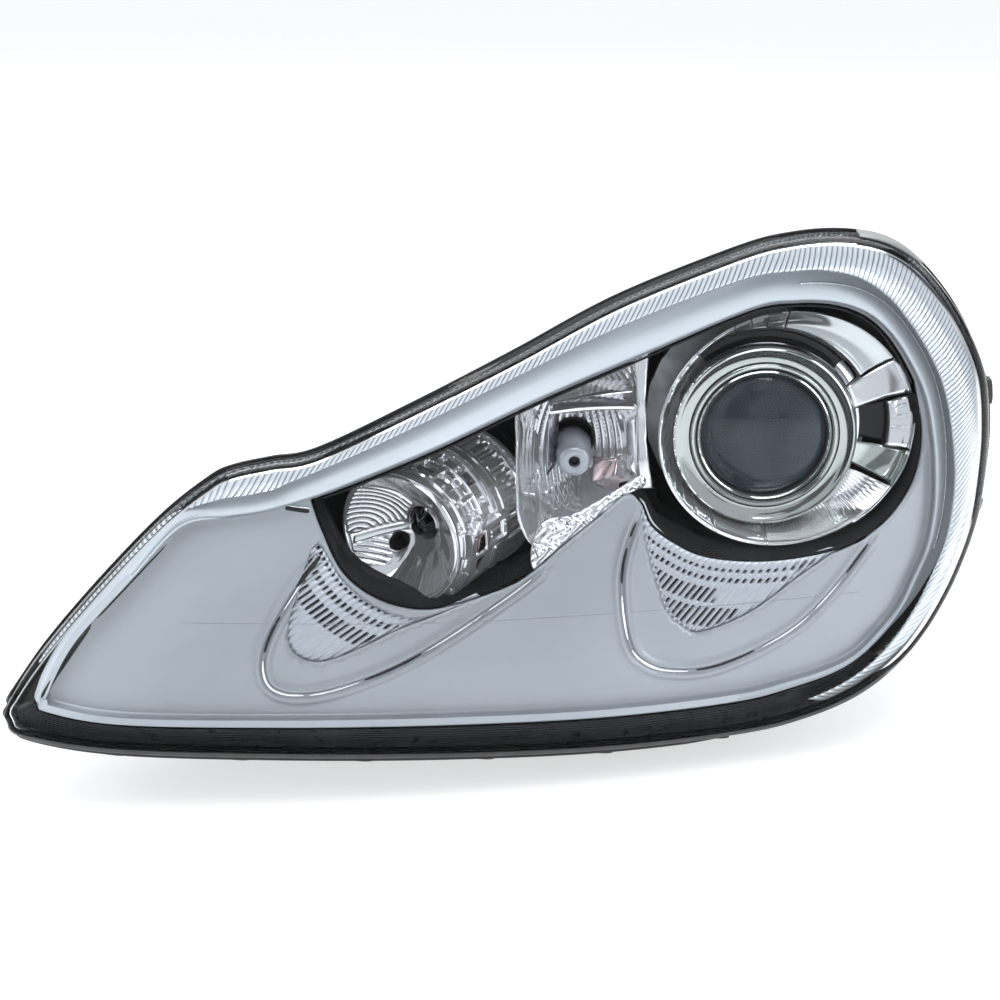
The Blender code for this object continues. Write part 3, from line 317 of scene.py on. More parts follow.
M_FLANGE = flange_finish()
M_CHROME = metal("metallised_mirror", (0.88, 0.885, 0.9), 0.045, wave=0.05)
M_CHROME_DARK = metal("smoked_mirror", (0.5, 0.5, 0.54), 0.07, wave=0.05)
M_STEEL = metal("zinc_plated_steel", (0.62, 0.62, 0.63), 0.26, brushed=(1, 1, 14))
M_CAST = metal("cast_metal", (0.42, 0.43, 0.44), 0.42, wave=0.2)
M_CASE = metal("pressed_case", (0.58, 0.6, 0.63), 0.3, brushed=(10, 1, 1))
M_SATIN = metal("satin_cap", (0.42, 0.44, 0.47), 0.38, metallic=0.6)


def rubber(name="moulded_rubber"):
    s = Shader(name)
    tone = s.ramp(s.noise(60, 3), [(0.3, (0.016,) * 3), (0.7, (0.028,) * 3)])
    s.set(Base_Color=tone, Roughness=s.span(s.noise(80, 3), 0.65, 0.85), Normal=s.bump(s.noise(900, 3), 0.3, 0.0004))
    return s.made


def nylon(name="natural_nylon"):
    s = Shader(name)
    tone = s.ramp(s.noise(30, 3), [(0.3, (0.66, 0.64, 0.58)), (0.7, (0.76, 0.74, 0.68))])
    s.set(Base_Color=tone, Roughness=s.span(s.noise(80, 3), 0.38, 0.52), Subsurface_Weight=0.15, Normal=s.bump(s.noise(500, 2), 0.1, 0.0003))
    s.bsdf.inputs["Subsurface Radius"].default_value = (0.002, 0.002, 0.002)
    return s.made


M_RUBBER, M_NYLON = rubber(), nylon()


def optic_glass(name="optical_glass", depth=(0.03, 0.034, 0.042)):
    """Thick projector glass over a dark cavity: the body is painted dark as painted shade of the unlit cavity seen
    through the glass, under a hard clear surface.
    """
    s = Shader(name)
    tone = s.ramp(s.noise(14, 3, 0.5, None, 0.6), [(0.3, tuple(c * 0.7 for c in depth)), (0.7, tuple(c * 1.9 for c in depth))])
    s.set(Base_Color=tone, Roughness=0.05, Specular_IOR_Level=0.28, Coat_Weight=0.22, Coat_Roughness=0.02, IOR=1.45)
    return s.made


M_GLASS = optic_glass()
M_BULB = clear_plastic("bulb_glass", (0.9, 0.93, 0.96), 0.02, 1.48)
M_AMBER = clear_plastic("amber_bulb_glass", (1.0, 0.55, 0.16), 0.02, 1.48)

SLOT_FINISH = {
    "black_plastic": M_BLACK, "clear_lens": M_LENS, "optic_glass": M_BULB, "chrome": M_CHROME, "satin_silver": M_BEZEL,
    "cast_aluminium": M_CAST, "steel": M_STEEL, "zinc": M_CASE, "rubber": M_RUBBER, "nylon": M_NYLON,
}
for part in frame["record"]["subparts"]:
    node = frame["nodes"][part["node"]]
    finish = SLOT_FINISH[part["material_slot"]]
    if not node.data.materials:
        node.data.materials.append(finish)
    for slot in node.material_slots:
        slot.link = "OBJECT"
        slot.material = finish


# ------------------------------------------------------------------ mesh helpers
def piece(name, points, faces, finish, body="root", node=None, slot=None, sharp=38, attributes=None, smooth=True, recalc=True, solid=None):
    """A mesh piece from design points in millimetres. node is the CAD node that it replaces."""
    mesh = bpy.data.meshes.new(name)
    mesh.from_pydata([tuple(p) for p in world(points)], [], [tuple(int(i) for i in f) for f in faces])
    for key, values in (attributes or {}).items():
        layer = mesh.attributes.new(key, "FLOAT", "POINT")
        layer.data.foreach_set("value", np.asarray(values, np.float32))
    if recalc:
        bm = bmesh.new()
        bm.from_mesh(mesh)
        bmesh.ops.recalc_face_normals(bm, faces=bm.faces)
        bm.to_mesh(mesh)
        bm.free()
    if smooth:
        mesh.shade_smooth()
        mesh.set_sharp_from_angle(angle=math.radians(sharp))
    obj = bpy.data.objects.new(name, mesh)
    bpy.context.scene.collection.objects.link(obj)
    mesh.materials.append(finish)
    if solid:
        shell = obj.modifiers.new("wall", "SOLIDIFY")
        shell.thickness = abs(solid) * 0.001
        shell.offset = -1 if solid > 0 else 1
        shell.use_even_offset = False
    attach(obj, body)
    if node:
        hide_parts(*([node] if isinstance(node, str) else node))
    return obj


class Build:
    """Collects vertices and faces of one piece."""

    def __init__(self):
        self.points, self.faces, self.count = [], [], 0

    def add(self, points, faces):
        points = np.asarray(points, float).reshape(-1, 3)
        self.points.append(points)
        self.faces += [tuple(i + self.count for i in f) for f in faces]
        self.count += len(points)
        return self

    def grid(self, rings, closed=True, loop=False, caps=False):
        """Skins rings of equal length; closed joins each ring's ends, loop joins the last ring to the first."""
        rings = [np.asarray(r, float) for r in rings]
        n = len(rings[0])
        faces = []
        rows = len(rings)
        for a in range(rows if loop else rows - 1):
            b = (a + 1) % rows
            for i in range(n if closed else n - 1):
                j = (i + 1) % n
                faces.append((a * n + i, a * n + j, b * n + j, b * n + i))
        if caps:
            faces.append(tuple(range(n)))
            faces.append(tuple((rows - 1) * n + i for i in range(n))[::-1])
        return self.add(np.vstack(rings), faces)

    def make(self, name, finish, **more):
        return piece(name, np.vstack(self.points), self.faces, finish, **more)


def catmull(points, samples, closed):
    pts = np.asarray(points, float)
    n = len(pts)
    spans = n if closed else n - 1
    u = np.arange(samples) * spans / (samples if closed else samples - 1)
    i = np.minimum(u.astype(int), spans - 1)
    t = (u - i)[:, None]
    if closed:
        a, b, c, d = (pts[(i + j) % n] for j in (-1, 0, 1, 2))
    else:
        a, b, c, d = (pts[np.clip(i + j, 0, n - 1)] for j in (-1, 0, 1, 2))
    return 0.5 * (2 * b + (c - a) * t + (2 * a - 5 * b + 4 * c - d) * t * t + (3 * b - a - 3 * c + d) * t**3)


def lengths(path, closed=False):
    q = np.vstack([path, path[:1]]) if closed else path
    return np.concatenate([[0], np.cumsum(np.hypot(*(np.diff(q[:, :2], axis=0).T)))])


def even(path, count, closed=False):
    """count points evenly spaced along the path, every column carried along."""
    path = np.asarray(path, float)
    run = lengths(path, closed)
    q = np.vstack([path, path[:1]]) if closed else path
    want = np.linspace(0, run[-1], count + 1)[:-1] if closed else np.linspace(0, run[-1], count)
    return np.stack([np.interp(want, run, q[:, k]) for k in range(path.shape[1])], axis=1)


def smooth_step(t):
    t = np.clip(t, 0, 1)
    return t * t * (3 - 2 * t)


def frame_axes(direction):
    z = np.array(direction, float)
    z /= np.linalg.norm(z)
    x = np.array((1.0, 0, 0)) if abs(z[0]) < 0.9 else np.array((0, 1.0, 0))
    y = np.cross(z, x)
    y /= np.linalg.norm(y)
    return np.cross(y, z), y, z


def rounded(profile, radius=0.5, steps=3):
    """The closed (r, h) profile with its corners rounded."""
    out = []
    pts = [np.array(p, float) for p in profile]
    n = len(pts)
    for i, p in enumerate(pts):
        a, b = pts[i - 1] - p, pts[(i + 1) % n] - p
        la, lb = np.linalg.norm(a), np.linalg.norm(b)
        if p[0] == 0 or la < 1e-6 or lb < 1e-6:
            out.append(p)
            continue
        cut = min(radius, la * 0.4, lb * 0.4)
        s, e = p + a / la * cut, p + b / lb * cut
        for k in range(steps + 1):
            t = k / steps
            out.append((1 - t) ** 2 * s + 2 * t * (1 - t) * p + t * t * e)
    return np.array(out)


def turned(profile, origin, direction, steps=96, start=0.0, sweep=math.tau, ripple=None, build=None):
    """A closed (radius, height) profile spun about origin along direction."""
    build = build or Build()
    x, y, z = frame_axes(direction)
    prof = np.asarray(profile, float)
    whole = abs(sweep - math.tau) < 1e-6
    rings = []
    for k in range(steps if whole else steps + 1):
        a = start + sweep * k / steps
        r = prof[:, 0].copy()
        if ripple is not None:
            r = ripple(a, prof, r)
        rings.append(np.array(origin) + np.outer(r * math.cos(a), x) + np.outer(r * math.sin(a), y) + np.outer(prof[:, 1], z))
    n = len(prof)
    faces = []
    rows = len(rings)
    for a in range(rows if whole else rows - 1):
        b = (a + 1) % rows
        for i in range(n):
            j = (i + 1) % n
            if prof[i, 0] == 0 and prof[j, 0] == 0:
                continue
            faces.append((a * n + i, b * n + i, b * n + j, a * n + j))
    if not whole:
        faces.append(tuple(range(n)))
        faces.append(tuple((rows - 1) * n + i for i in range(n))[::-1])
    build.add(np.vstack(rings), faces)
    return build


def clean(obj, merge=0.00001):
    """Merges the points that meet on an axis and drops the faces that collapsed there."""
    bm = bmesh.new()
    bm.from_mesh(obj.data)
    bmesh.ops.remove_doubles(bm, verts=bm.verts, dist=merge)
    bmesh.ops.dissolve_degenerate(bm, edges=bm.edges, dist=merge)
    bmesh.ops.recalc_face_normals(bm, faces=bm.faces)
    bm.to_mesh(obj.data)
    bm.free()
    obj.data.set_sharp_from_angle(angle=math.radians(38))
    return obj


def inside(points, outline):
    """Which (x, z) points lie inside the closed outline."""
    points, outline = np.asarray(points, float), np.asarray(outline, float)
    a, b = outline, np.roll(outline, -1, axis=0)
    hit = np.zeros(len(points), bool)
    for (x1, z1), (x2, z2) in zip(a, b):
        if z1 == z2:
            continue
        crosses = (z1 > points[:, 1]) != (z2 > points[:, 1])
        where = x1 + (points[:, 1] - z1) / (z2 - z1) * (x2 - x1)
        hit ^= crosses & (points[:, 0] < where)
    return hit


def distance(points, path, closed=True):
    """Distance from each (x, z) point to the path, and the path's position (0 to 1) of the nearest point."""
    points, path = np.asarray(points, float), np.asarray(path, float)
    q = np.vstack([path, path[:1]]) if closed else path
    run = lengths(q)
    best = np.full(len(points), 1e9)
    where = np.zeros(len(points))
    for k in range(len(q) - 1):
        d = q[k + 1] - q[k]
        size = d @ d
        if size < 1e-12:
            continue
        t = np.clip(((points - q[k]) @ d) / size, 0, 1)
        e = np.hypot(*(points - q[k] - t[:, None] * d).T)
        near = e < best
        best[near] = e[near]
        where[near] = (run[k] + t[near] * math.sqrt(size)) / run[-1]
    return best, where


def fill(outline, spacing, holes=(), extra=(), edge_gap=0.45):
    """Triangles over the (x, z) outline less its holes: (points, faces). extra holds further points to take in."""
    loops = [np.asarray(outline, float)] + [np.asarray(h, float) for h in holes]
    lo, hi = loops[0].min(0), loops[0].max(0)
    xs = np.arange(lo[0], hi[0], spacing)
    zs = np.arange(lo[1], hi[1], spacing * 0.866)
    grid = np.array([(x + (row % 2) * spacing / 2, z) for row, z in enumerate(zs) for x in xs])
    keep = inside(grid, loops[0])
    for hole in loops[1:]:
        keep &= ~inside(grid, hole)
    grid = grid[keep]
    if len(extra):
        extra = np.asarray(extra, float)
        ok = inside(extra, loops[0])
        for hole in loops[1:]:
            ok &= ~inside(extra, hole)
        extra = extra[ok]
    for loop in loops:
        if len(grid):
            grid = grid[distance(grid, loop)[0] > spacing * edge_gap]
    verts, edges = [], []
    for loop in loops:
        base = len(verts)
        verts += [Vector(p) for p in loop]
        edges += [(base + i, base + (i + 1) % len(loop)) for i in range(len(loop))]
    verts += [Vector(p) for p in grid]
    if len(extra):
        verts += [Vector(p) for p in extra]
    made, _, faces, *_ = delaunay_2d_cdt(verts, edges, [], 0, 1e-6)
    made = np.array([tuple(v) for v in made])
    faces = np.array([tuple(f) for f in faces if len(f) == 3])
    centre = made[faces].mean(1)
    keep = inside(centre, loops[0])
    for hole in loops[1:]:
        keep &= ~inside(centre, hole)
    return made, faces[keep]


def tube(path, radius, sides=10, closed=False, build=None, flat=None):
    """A round wire along 3-D design points."""
    build = build or Build()
    path = np.asarray(path, float)
    n = len(path)
    tangent = np.roll(path, -1, 0) - np.roll(path, 1, 0)
    if not closed:
        tangent[0], tangent[-1] = path[1] - path[0], path[-1] - path[-2]
    tangent /= np.linalg.norm(tangent, axis=1)[:, None]
    up = np.array((0.0, 0.0, 1.0)) if abs(tangent[0][2]) < 0.9 else np.array((1.0, 0, 0))
    rings = []
    for p, t in zip(path, tangent):
        side = np.cross(t, up)
        side /= np.linalg.norm(side)
        up = np.cross(side, t)
        a = np.arange(sides) * math.tau / sides
        rings.append(p + np.outer(np.cos(a) * radius, side) + np.outer(np.sin(a) * (flat or radius), up))
    build.grid(rings, True, closed, not closed)
    return build


# ------------------------------------------------------------------ the lamp's outer form
OUTLINE = [
    (-287, -108, -264, -100), (-267, -78, -247, -69), (-233, -39, -215, -34), (-197, -3, -184, -2),
    (-169, 18, -156, 2), (-155, 24, -137, 4), (-133, 28, -112, 10), (-107, 32, -90, 17),
    (-52, 55, -35, 37), (7, 81, 26, 62), (71, 110, 92, 85), (144, 133, 151, 104),
    (178, 139, 179, 106), (210, 139, 204, 103), (236, 133, 224, 95), (259, 119, 240, 81),
    (279, 97, 254, 60), (294, 73, 263, 40), (304, 48, 268, 16), (307, 20, 270, -5),
    (306, -8, 270, -28), (302, -36, 266, -52), (293, -62, 258, -70), (281, -86, 249, -88),
    (265, -109, 237, -102), (246, -127, 222, -115), (220, -142, 205, -122), (187, -151, 178, -127),
    (149, -155, 144, -131), (67, -155, 65, -131), (-30, -150, -30, -127), (-136, -143, -135, -122),
    (-230, -136, -223, -117), (-279, -126, -261, -109), (-287, -117, -264, -105),
]
OPEN_LOWER = [
    (-110, 8), (-104, -10), (-92, -36), (-72, -53), (-47, -61), (-24, -59), (0, -52), (20, -43), (36, -30),
    (58, -14), (76, -1), (84, -8), (90, -22), (104, -34), (122, -44), (148, -50), (177, -52), (210, -49),
    (236, -37), (252, -20), (260, -2), (262, 20), (258, 42),
]


def face_depth(x, z):
    """Depth y of the lens's outer face."""
    return 130.0 * ((np.asarray(x) + 300.0) / 600.0) ** 2 + 55.0 * np.maximum((np.asarray(z) + 165.0) / 330.0, 0.0) ** 2


def back_depth(x):
    tip = 108.0 + (BACK_INNER - 108.0) * smooth_step((np.asarray(x) + 276.0) / 96.0)
    return tip + (BACK_OUTER - BACK_INNER) * smooth_step((np.asarray(x) - 85.0) / 24.0)


N = 520
DENSE = catmull(OUTLINE, 2800, True)
KEYS = np.arange(2800, dtype=float)[:, None]
TRACK = even(np.hstack([DENSE, KEYS]), N, True)
RIM, STEP, KEY = TRACK[:, :2], TRACK[:, 2:4], TRACK[:, 4]


def spine_points():
    right = int(np.argmax(DENSE[:, 0]))
    upper = DENSE[:right]
    lower = DENSE[:right:-1]
    x = RIM[:, 0].copy()
    s = (x - 90) / 217.0
    x = np.where(RIM[:, 0] > 90, 90 + 80 * s * (2 - s), x)
    x = np.where(RIM[:, 0] < -170, -170 - 62 * (-170 - RIM[:, 0]) / 117.0, x)
    top = np.interp(x, upper[:, 0], upper[:, 1])
    bottom = np.interp(x, lower[:, 0], lower[:, 1])
    found = np.stack([x, (top + bottom) / 2], axis=1)
    for _ in range(40):
        found = (np.roll(found, 1, 0) + found * 2 + np.roll(found, -1, 0)) / 4
    return found


SPINE = spine_points()
tangent = np.roll(RIM, -3, 0) - np.roll(RIM, 3, 0)
OUT = np.stack([tangent[:, 1], -tangent[:, 0]], axis=1)
OUT /= np.linalg.norm(OUT, axis=1)[:, None]
OUT *= np.where((OUT * (SPINE - RIM)).sum(1) > 0, -1.0, 1.0)[:, None]
BOTTOM = np.where(RIM[:, 0] > -100, smooth_step((-OUT[:, 1] - 0.1) / 0.7), smooth_step((-OUT[:, 1] + 0.95) / 0.6))
for _ in range(6):
    BOTTOM = (np.roll(BOTTOM, 1) + BOTTOM * 2 + np.roll(BOTTOM, -1)) / 4
TOP_SIDE = smooth_step((OUT[:, 1] + 0.05) / 0.45)
RIM_HEIGHT = 40.0 - 8.0 * BOTTOM - (8.0 + 6.0 * smooth_step((60 - RIM[:, 0]) / 160)) * TOP_SIDE
LIP = 2.2 + 9.6 * smooth_step((-OUT[:, 1] - 0.35) / 0.6) * smooth_step((230 - RIM[:, 0]) / 120) + 2.2 * smooth_step((OUT[:, 0] - 0.3) / 0.5)


def inset(gap, start=None):
    """The rim (or start) ring moved inwards by gap, never past the middle line."""
    begin = RIM if start is None else start
    gap = np.broadcast_to(np.asarray(gap, float), (N,))
    way = SPINE - begin
    size = np.linalg.norm(way, axis=1)
    unit = way / size[:, None]
    lean = np.maximum(-(unit * OUT).sum(1), 0.45)
    step = 0.86 * size * np.tanh(np.maximum(gap, 0) / lean / (0.86 * size))
    moved = begin + unit * step[:, None]
    return np.where((gap <= 0)[:, None], begin - OUT * gap[:, None], moved)


def ring3(flat, depth):
    return np.stack([flat[:, 0], depth, flat[:, 1]], axis=1)


def behind(flat, extra):
    """At a depth behind the face above the rim."""
    return ring3(flat, face_depth(RIM[:, 0], RIM[:, 1]) + extra)


def over(flat, extra):
    """At a depth behind the face above the ring itself."""
    return ring3(flat, face_depth(flat[:, 0], flat[:, 1]) + extra)


EDGE = 22.0 - 10.0 * BOTTOM
ROLL = 24.0  # how far in from the rim the face starts to roll back


def roll_depth(gap, edge=22.0):
    """How far the lens has rolled back at gap mm in from its rim."""
    t = 1 - np.clip(np.asarray(gap, float) / ROLL, 0, 1)
    return edge * (1 - np.sqrt(np.maximum(1 - t * t, 0)))


def outer_lens():
    build = Build()
    angles = np.radians([0, 8, 17, 27, 37, 47, 57, 67, 76, 84, 90])
    outer, inner = [], []
    for f in angles:
        gap, roll = ROLL * (1 - math.cos(f)), (1 - math.sin(f))
        flat = inset(gap)
        outer.append(over(flat, EDGE * roll) if f > 0 else behind(flat, EDGE))
        flat = inset(gap + 3 * math.cos(f))
        inner.append(over(flat, EDGE * roll + 3 * math.sin(f)) if f > 0 else behind(flat, EDGE))
    foot = RIM_HEIGHT + 10
    wall = [behind(inset(-0.4), foot), behind(inset(-0.4), foot - 8), behind(inset(-0.2), (foot + EDGE) / 2)]
    wall_in = [behind(inset(3.0), (foot + EDGE) / 2), behind(inset(3.0), foot)]
    for chain, drop, flip in ((outer, 0.0, False), (inner, 3.0, True)):
        edge = chain[-1][:, [0, 2]]
        flat, faces = fill(edge, 9.0)
        depth = face_depth(flat[:, 0], flat[:, 1]) + drop
        build.add(np.stack([flat[:, 0], depth, flat[:, 1]], axis=1), faces)
    build.grid(wall[::1] + outer)
    build.grid(inner[::-1] + wall_in + [wall[0]])
    obj = build.make("lens_shell", M_LENS, node="outer_lens", slot="clear_lens", recalc=False)
    return clean(obj, 0.00002)


# share of the way from the rim to the step at which the flutes end, their slant from the outward normal and their pitch
BAND = np.array([
    (40, .26, -30, 3.2), (150, .28, -36, 3.4), (230, .32, -40, 3.8), (300, .42, -44, 4.0), (400, .50, -44, 4.0), (450, .53, -46, 4.0), (500, .45, -55, 4.0), (560, .35, -61, 4.0),
    (640, .33, -62, 4.0), (760, .32, -60, 3.9), (828, .36, -52, 3.8), (880, .40, -42, 3.7), (924, .45, -32, 3.6), (992, .47, -14, 3.4),
    (1064, .53, 2, 3.2), (1128, .61, 10, 3.0), (1208, .69, 12, 2.8), (1300, .71, 15, 2.8), (1388, .72, 22, 2.8), (1464, .73, 34, 2.9), (1552, .70, 48, 3.4),
    (1650, .70, 56, 4.2), (1720, .71, 58, 4.8), (1848, .72, 58, 5.0), (1950, .66, 58, 5.0), (2060, .58, 56, 4.8), (2140, .50, 50, 4.5),
])


def band_curve(first, last, count, add=0.0):
    """Points of the flutes' inner edge between two keys, each with its row number in the dense outline."""
    keep = (DENSE_KEY >= first) & (DENSE_KEY <= last)
    rows = np.where(keep)[0]
    share = np.interp(rows, BAND[:, 0], BAND[:, 1]) + add
    rim, step = DENSE[rows, :2], DENSE[rows, 2:]
    flat = rim + (step - rim) * share[:, None]
    return even(np.column_stack([flat, rows.astype(float)]), count)


DENSE_KEY = np.arange(2800)
RIM_LOOP = DENSE[::8, :2]


def lens_depth(flat, extra, edge=22.0):
    """Depth of the lens's inner side plus extra at (x, z) points inside the rim."""
    gap, where = distance(flat, RIM_LOOP)
    edges = np.interp(where * 1.0, np.linspace(0, 1, len(RIM_LOOP)), EDGE_LOOP)
    return face_depth(flat[:, 0], flat[:, 1]) + roll_depth(gap - 3.0, 1.0) * edges + 3.0 + extra


EDGE_LOOP = np.interp(np.arange(0, 2800, 8), KEY, EDGE)


KEY_ORDER = np.argsort(KEY)
KEY_SORT = KEY[KEY_ORDER]


def keys_of(want, phase, curve):
    return np.interp(want, phase, curve[:, 2])


def fluted_band():
    """Ribbed optic moulded inside the lens's edge, from the inboard corner over the top and down the outboard side."""
    curve = band_curve(60, 2140, 2900)
    keys = curve[:, 2]
    slant = np.radians(np.interp(keys, BAND[:, 0], BAND[:, 2]))
    pitch = np.interp(keys, BAND[:, 0], BAND[:, 3])
    run = lengths(curve[:, :2])
    phase = np.concatenate([[0], np.cumsum(np.diff(run) / ((pitch[1:] + pitch[:-1]) / 2))])
    count = int(phase[-1] * 12)
    want = np.linspace(0, phase[-1], count)
    flat = np.stack([np.interp(want, phase, curve[:, k]) for k in (0, 1)], axis=1)
    slant = np.interp(want, phase, slant)
    tangent = np.gradient(flat, axis=0)
    for _ in range(60):
        tangent[1:-1] = (tangent[:-2] + 2 * tangent[1:-1] + tangent[2:]) / 4
    tangent /= np.linalg.norm(tangent, axis=1)[:, None]
    normal = np.stack([-tangent[:, 1], tangent[:, 0]], axis=1)  # outwards when the keys run over the top from inboard
    way = normal * np.cos(slant)[:, None] + np.stack([-normal[:, 1], normal[:, 0]], axis=1) * np.sin(slant)[:, None]
    # how far each rib runs before it is 3.4 mm short of the rim
    reach = np.zeros(count)
    for trial in np.arange(0.5, 46, 0.5):
        spot = flat + way * trial
        gap, _ = distance(spot, RIM_LOOP[: 290])
        ok = inside(spot, DENSE[::8, :2]) & (gap > 3.5) & (reach >= trial - 0.51)
        reach[ok] = trial
    for _ in range(20):
        reach[1:-1] = (reach[:-2] + 2 * reach[1:-1] + reach[2:]) / 4
    wave = want % 1.0
    saw = np.where(wave < 0.72, np.sin(wave / 0.72 * math.pi / 2) ** 0.8, np.cos((wave - 0.72) / 0.28 * math.pi / 2))
    rows, heights, across = [], [], []
    shares = [0, 0.02, 0.06, 0.12, 0.2, 0.3, 0.42, 0.54, 0.66, 0.78, 0.88, 0.95, 1.0]
    for t in shares:
        spot = flat + way * (reach * t)[:, None]
        lift = saw * min(1.0, t / 0.05 + 0.15) * 1.3
        rows.append(np.stack([spot[:, 0], lens_depth(spot, 2.2 - lift), spot[:, 1]], axis=1))
        heights.append(saw)
        # across also rises in the grooves near the rim and over the back rows, which the shader paints darker: painted
        # shade along the band's edge
        across.append(np.full(count, t * 0.72) + (1 - saw) * 0.10 * (t > 0.6))
    edge_y = rows[-1][:, 1]
    foot = np.interp(keys_of(want, phase, curve), KEY_SORT, (face_depth(RIM[:, 0], RIM[:, 1]) + RIM_HEIGHT + 9.0)[KEY_ORDER])
    for t in (0.12, 0.3, 0.5, 0.7, 0.85, 1.0):
        back = spot - way * (saw * 1.2)[:, None] + way * 0.3
        rows.append(np.stack([back[:, 0], edge_y + (foot - edge_y) * t, back[:, 1]], axis=1))
        heights.append(saw)
        across.append(np.full(count, 0.72 + 0.28 * t) + (1 - saw) * 0.05)
    for out in (1.2, 2.2, 3.2):
        rows.append(np.stack([back[:, 0] + way[:, 0] * out, foot + 0.3 * out, back[:, 1] + way[:, 1] * out], axis=1))
        heights.append(saw)
        across.append(np.full(count, 1.0))
    build = Build().grid(rows, closed=False)
    return build.make("fluted_optic_band", M_FLUTE, slot="clear_lens", sharp=60, solid=0.8,
                      attributes={"rib": np.concatenate(heights), "across": np.concatenate(across)})


# ------------------------------------------------------------------ bezel
def chain_opening(extra=0.0):
    first = int(np.argmax(STEP[:, 0] > -104))
    right = [i for i in range(N) if STEP[i, 0] > 250 and STEP[i, 1] > 50]
    last = max(right)
    lower = catmull(OPEN_LOWER, 150, False)
    return first, last, lower


TEAR_R = [(84, -6), (86, -22), (91, -44), (101, -74), (112, -86), (121, -90), (140, -86), (159, -78), (184, -62), (206, -49), (192, -50.4), (177, -51.4), (148, -49.4), (122, -43.4), (104, -33.4), (91, -21)]
RIDGE_R = [(86, -7), (76, -33), (73, -57), (78, -92), (90, -107), (109, -113), (131, -113), (159, -105), (185, -92), (207, -72), (224, -52), (236, -38)]
TEAR_L = [(-106, -18), (-116, -38), (-122, -58), (-124, -76), (-117, -86), (-103, -89), (-82, -82), (-59, -72), (-35, -64), (-12, -55), (-47, -66), (-72, -58), (-92, -40)]
RIDGE_L = [(-103, -22), (-122, -50), (-135, -73), (-139, -91), (-134, -104), (-118, -109), (-94, -106), (-59, -94), (-24, -75), (12, -52), (33, -37)]


def offset_path(path, gap):
    t = np.gradient(path, axis=0)
    t /= np.linalg.norm(t, axis=1)[:, None]
    return path + np.stack([t[:, 1], -t[:, 0]], axis=1) * gap


RIDGES = [even(catmull(RIDGE_R, 300, False), 160), even(catmull(RIDGE_L, 300, False), 170)]


def relief(flat):
    """Height of the bezel's front above its plain surface, in millimetres towards the viewer."""
    up = np.zeros(len(flat))
    for path in RIDGES:
        gap, where = distance(flat, path, closed=False)
        ends = smooth_step(where / 0.08) * smooth_step((1 - where) / 0.06)
        lip = 1.7 * np.exp(-((gap - 3.2) / 2.1) ** 2)
        groove = -1.3 * (1 - smooth_step((gap - 0.9) / 0.9))
        up += (lip + groove) * ends
    return up


FLAT_SHIFT = [float(v) for v in design(Vector((0, 0, 0)))]


def bezel():
    build = Build()
    rows = []
    for gap, depth in ((3.0, 19.0), (2.3, 18.8), (1.5, 17.9), (0.9, 16.0), (0.45, 13.9), (0.15, 12.5), (-0.3, 11.9), (-1.0, 11.7)):
        rows.append(over(inset(gap, STEP), depth))
    begin = STEP + (RIM - STEP) * 0.06
    for u in (0.06, 0.12, 0.2, 0.28, 0.36, 0.44, 0.52, 0.6, 0.67, 0.70, 0.705, 0.70):
        flat = STEP + (RIM - STEP) * (u * (1 - 0.54 * BOTTOM))[:, None]
        inner = face_depth(flat[:, 0], flat[:, 1]) + 11.7
        outer = face_depth(RIM[:, 0], RIM[:, 1]) + 20.0 - 5 * BOTTOM
        t = smooth_step(u / 0.5)
        y = inner + (outer - inner) * t * (1 - 0.45 * BOTTOM) + max(u - 0.5, 0) * 14 + BOTTOM * 7.0 * smooth_step((u - 0.35) / 0.35)
        if u >= 0.70:
            y = y + {0.70: 0.8, 0.705: 2.0}.get(u, 0)
        rows.append(ring3(flat, y))
    rows[-1] = ring3(rows[-1][:, [0, 2]], rows[-1][:, 1] + 8.0)
    build.grid(rows)
    first, last, lower = chain_opening()
    edge = inset(3.0, STEP)
    # the panel: round the bottom from the opening's outboard end to its inboard end, then along the opening's lower edge
    ring = np.vstack([edge[last:], edge[: first + 1]])
    outline = np.vstack([ring, lower])
    near = []
    for path in RIDGES:
        for gap in (-6.5, -5.2, -4.2, -3.2, -2.4, -1.7, -1.1, -0.5, 0.0, 0.5, 1.1, 1.7, 2.4, 3.2, 4.2, 5.2, 6.5):
            near.append(offset_path(path, gap))
    near = np.vstack(near)
    near = near[distance(near, outline)[0] > 0.8]
    holes = [catmull(TEAR_R, 120, True), catmull(TEAR_L, 120, True)]
    trimmed = []
    for hole in holes:
        hole = even(hole, 110, True)
        trimmed.append(hole)
    flat, faces = fill(outline, 3.4, holes=trimmed, extra=near)
    depth = face_depth(flat[:, 0], flat[:, 1]) + 19.0 - relief(flat)
    build.add(np.stack([flat[:, 0], depth, flat[:, 1]], axis=1), faces)
    obj = build.make("bezel_panel", M_BEZEL, node="bezel", slot="satin_silver", recalc=False, solid=1.8, sharp=50)
    bm = bmesh.new()
    bm.from_mesh(obj.data)
    bmesh.ops.remove_doubles(bm, verts=bm.verts, dist=0.00008)
    bmesh.ops.recalc_face_normals(bm, faces=bm.faces)
    if sum(f.normal.y * f.calc_area() for f in bm.faces) > 0:
        bmesh.ops.reverse_faces(bm, faces=bm.faces)
    bm.to_mesh(obj.data)
    bm.free()
    obj.data.shade_smooth()
    obj.data.set_sharp_from_angle(angle=math.radians(50))
    obj.data.materials.append(M_FLANGE)
    count = len(obj.data.polygons)
    middle_of = np.zeros(count * 3)
    obj.data.polygons.foreach_get("center", middle_of)
    spots = middle_of.reshape(-1, 3) * 1000 + np.array(FLAT_SHIFT)
    outer_side = ~inside(spots[:, [0, 2]], inset(0.5, STEP))
    obj.data.polygons.foreach_set("material_index", outer_side.astype(np.int32))
    return obj


outer_lens()
fluted_band()
bezel()


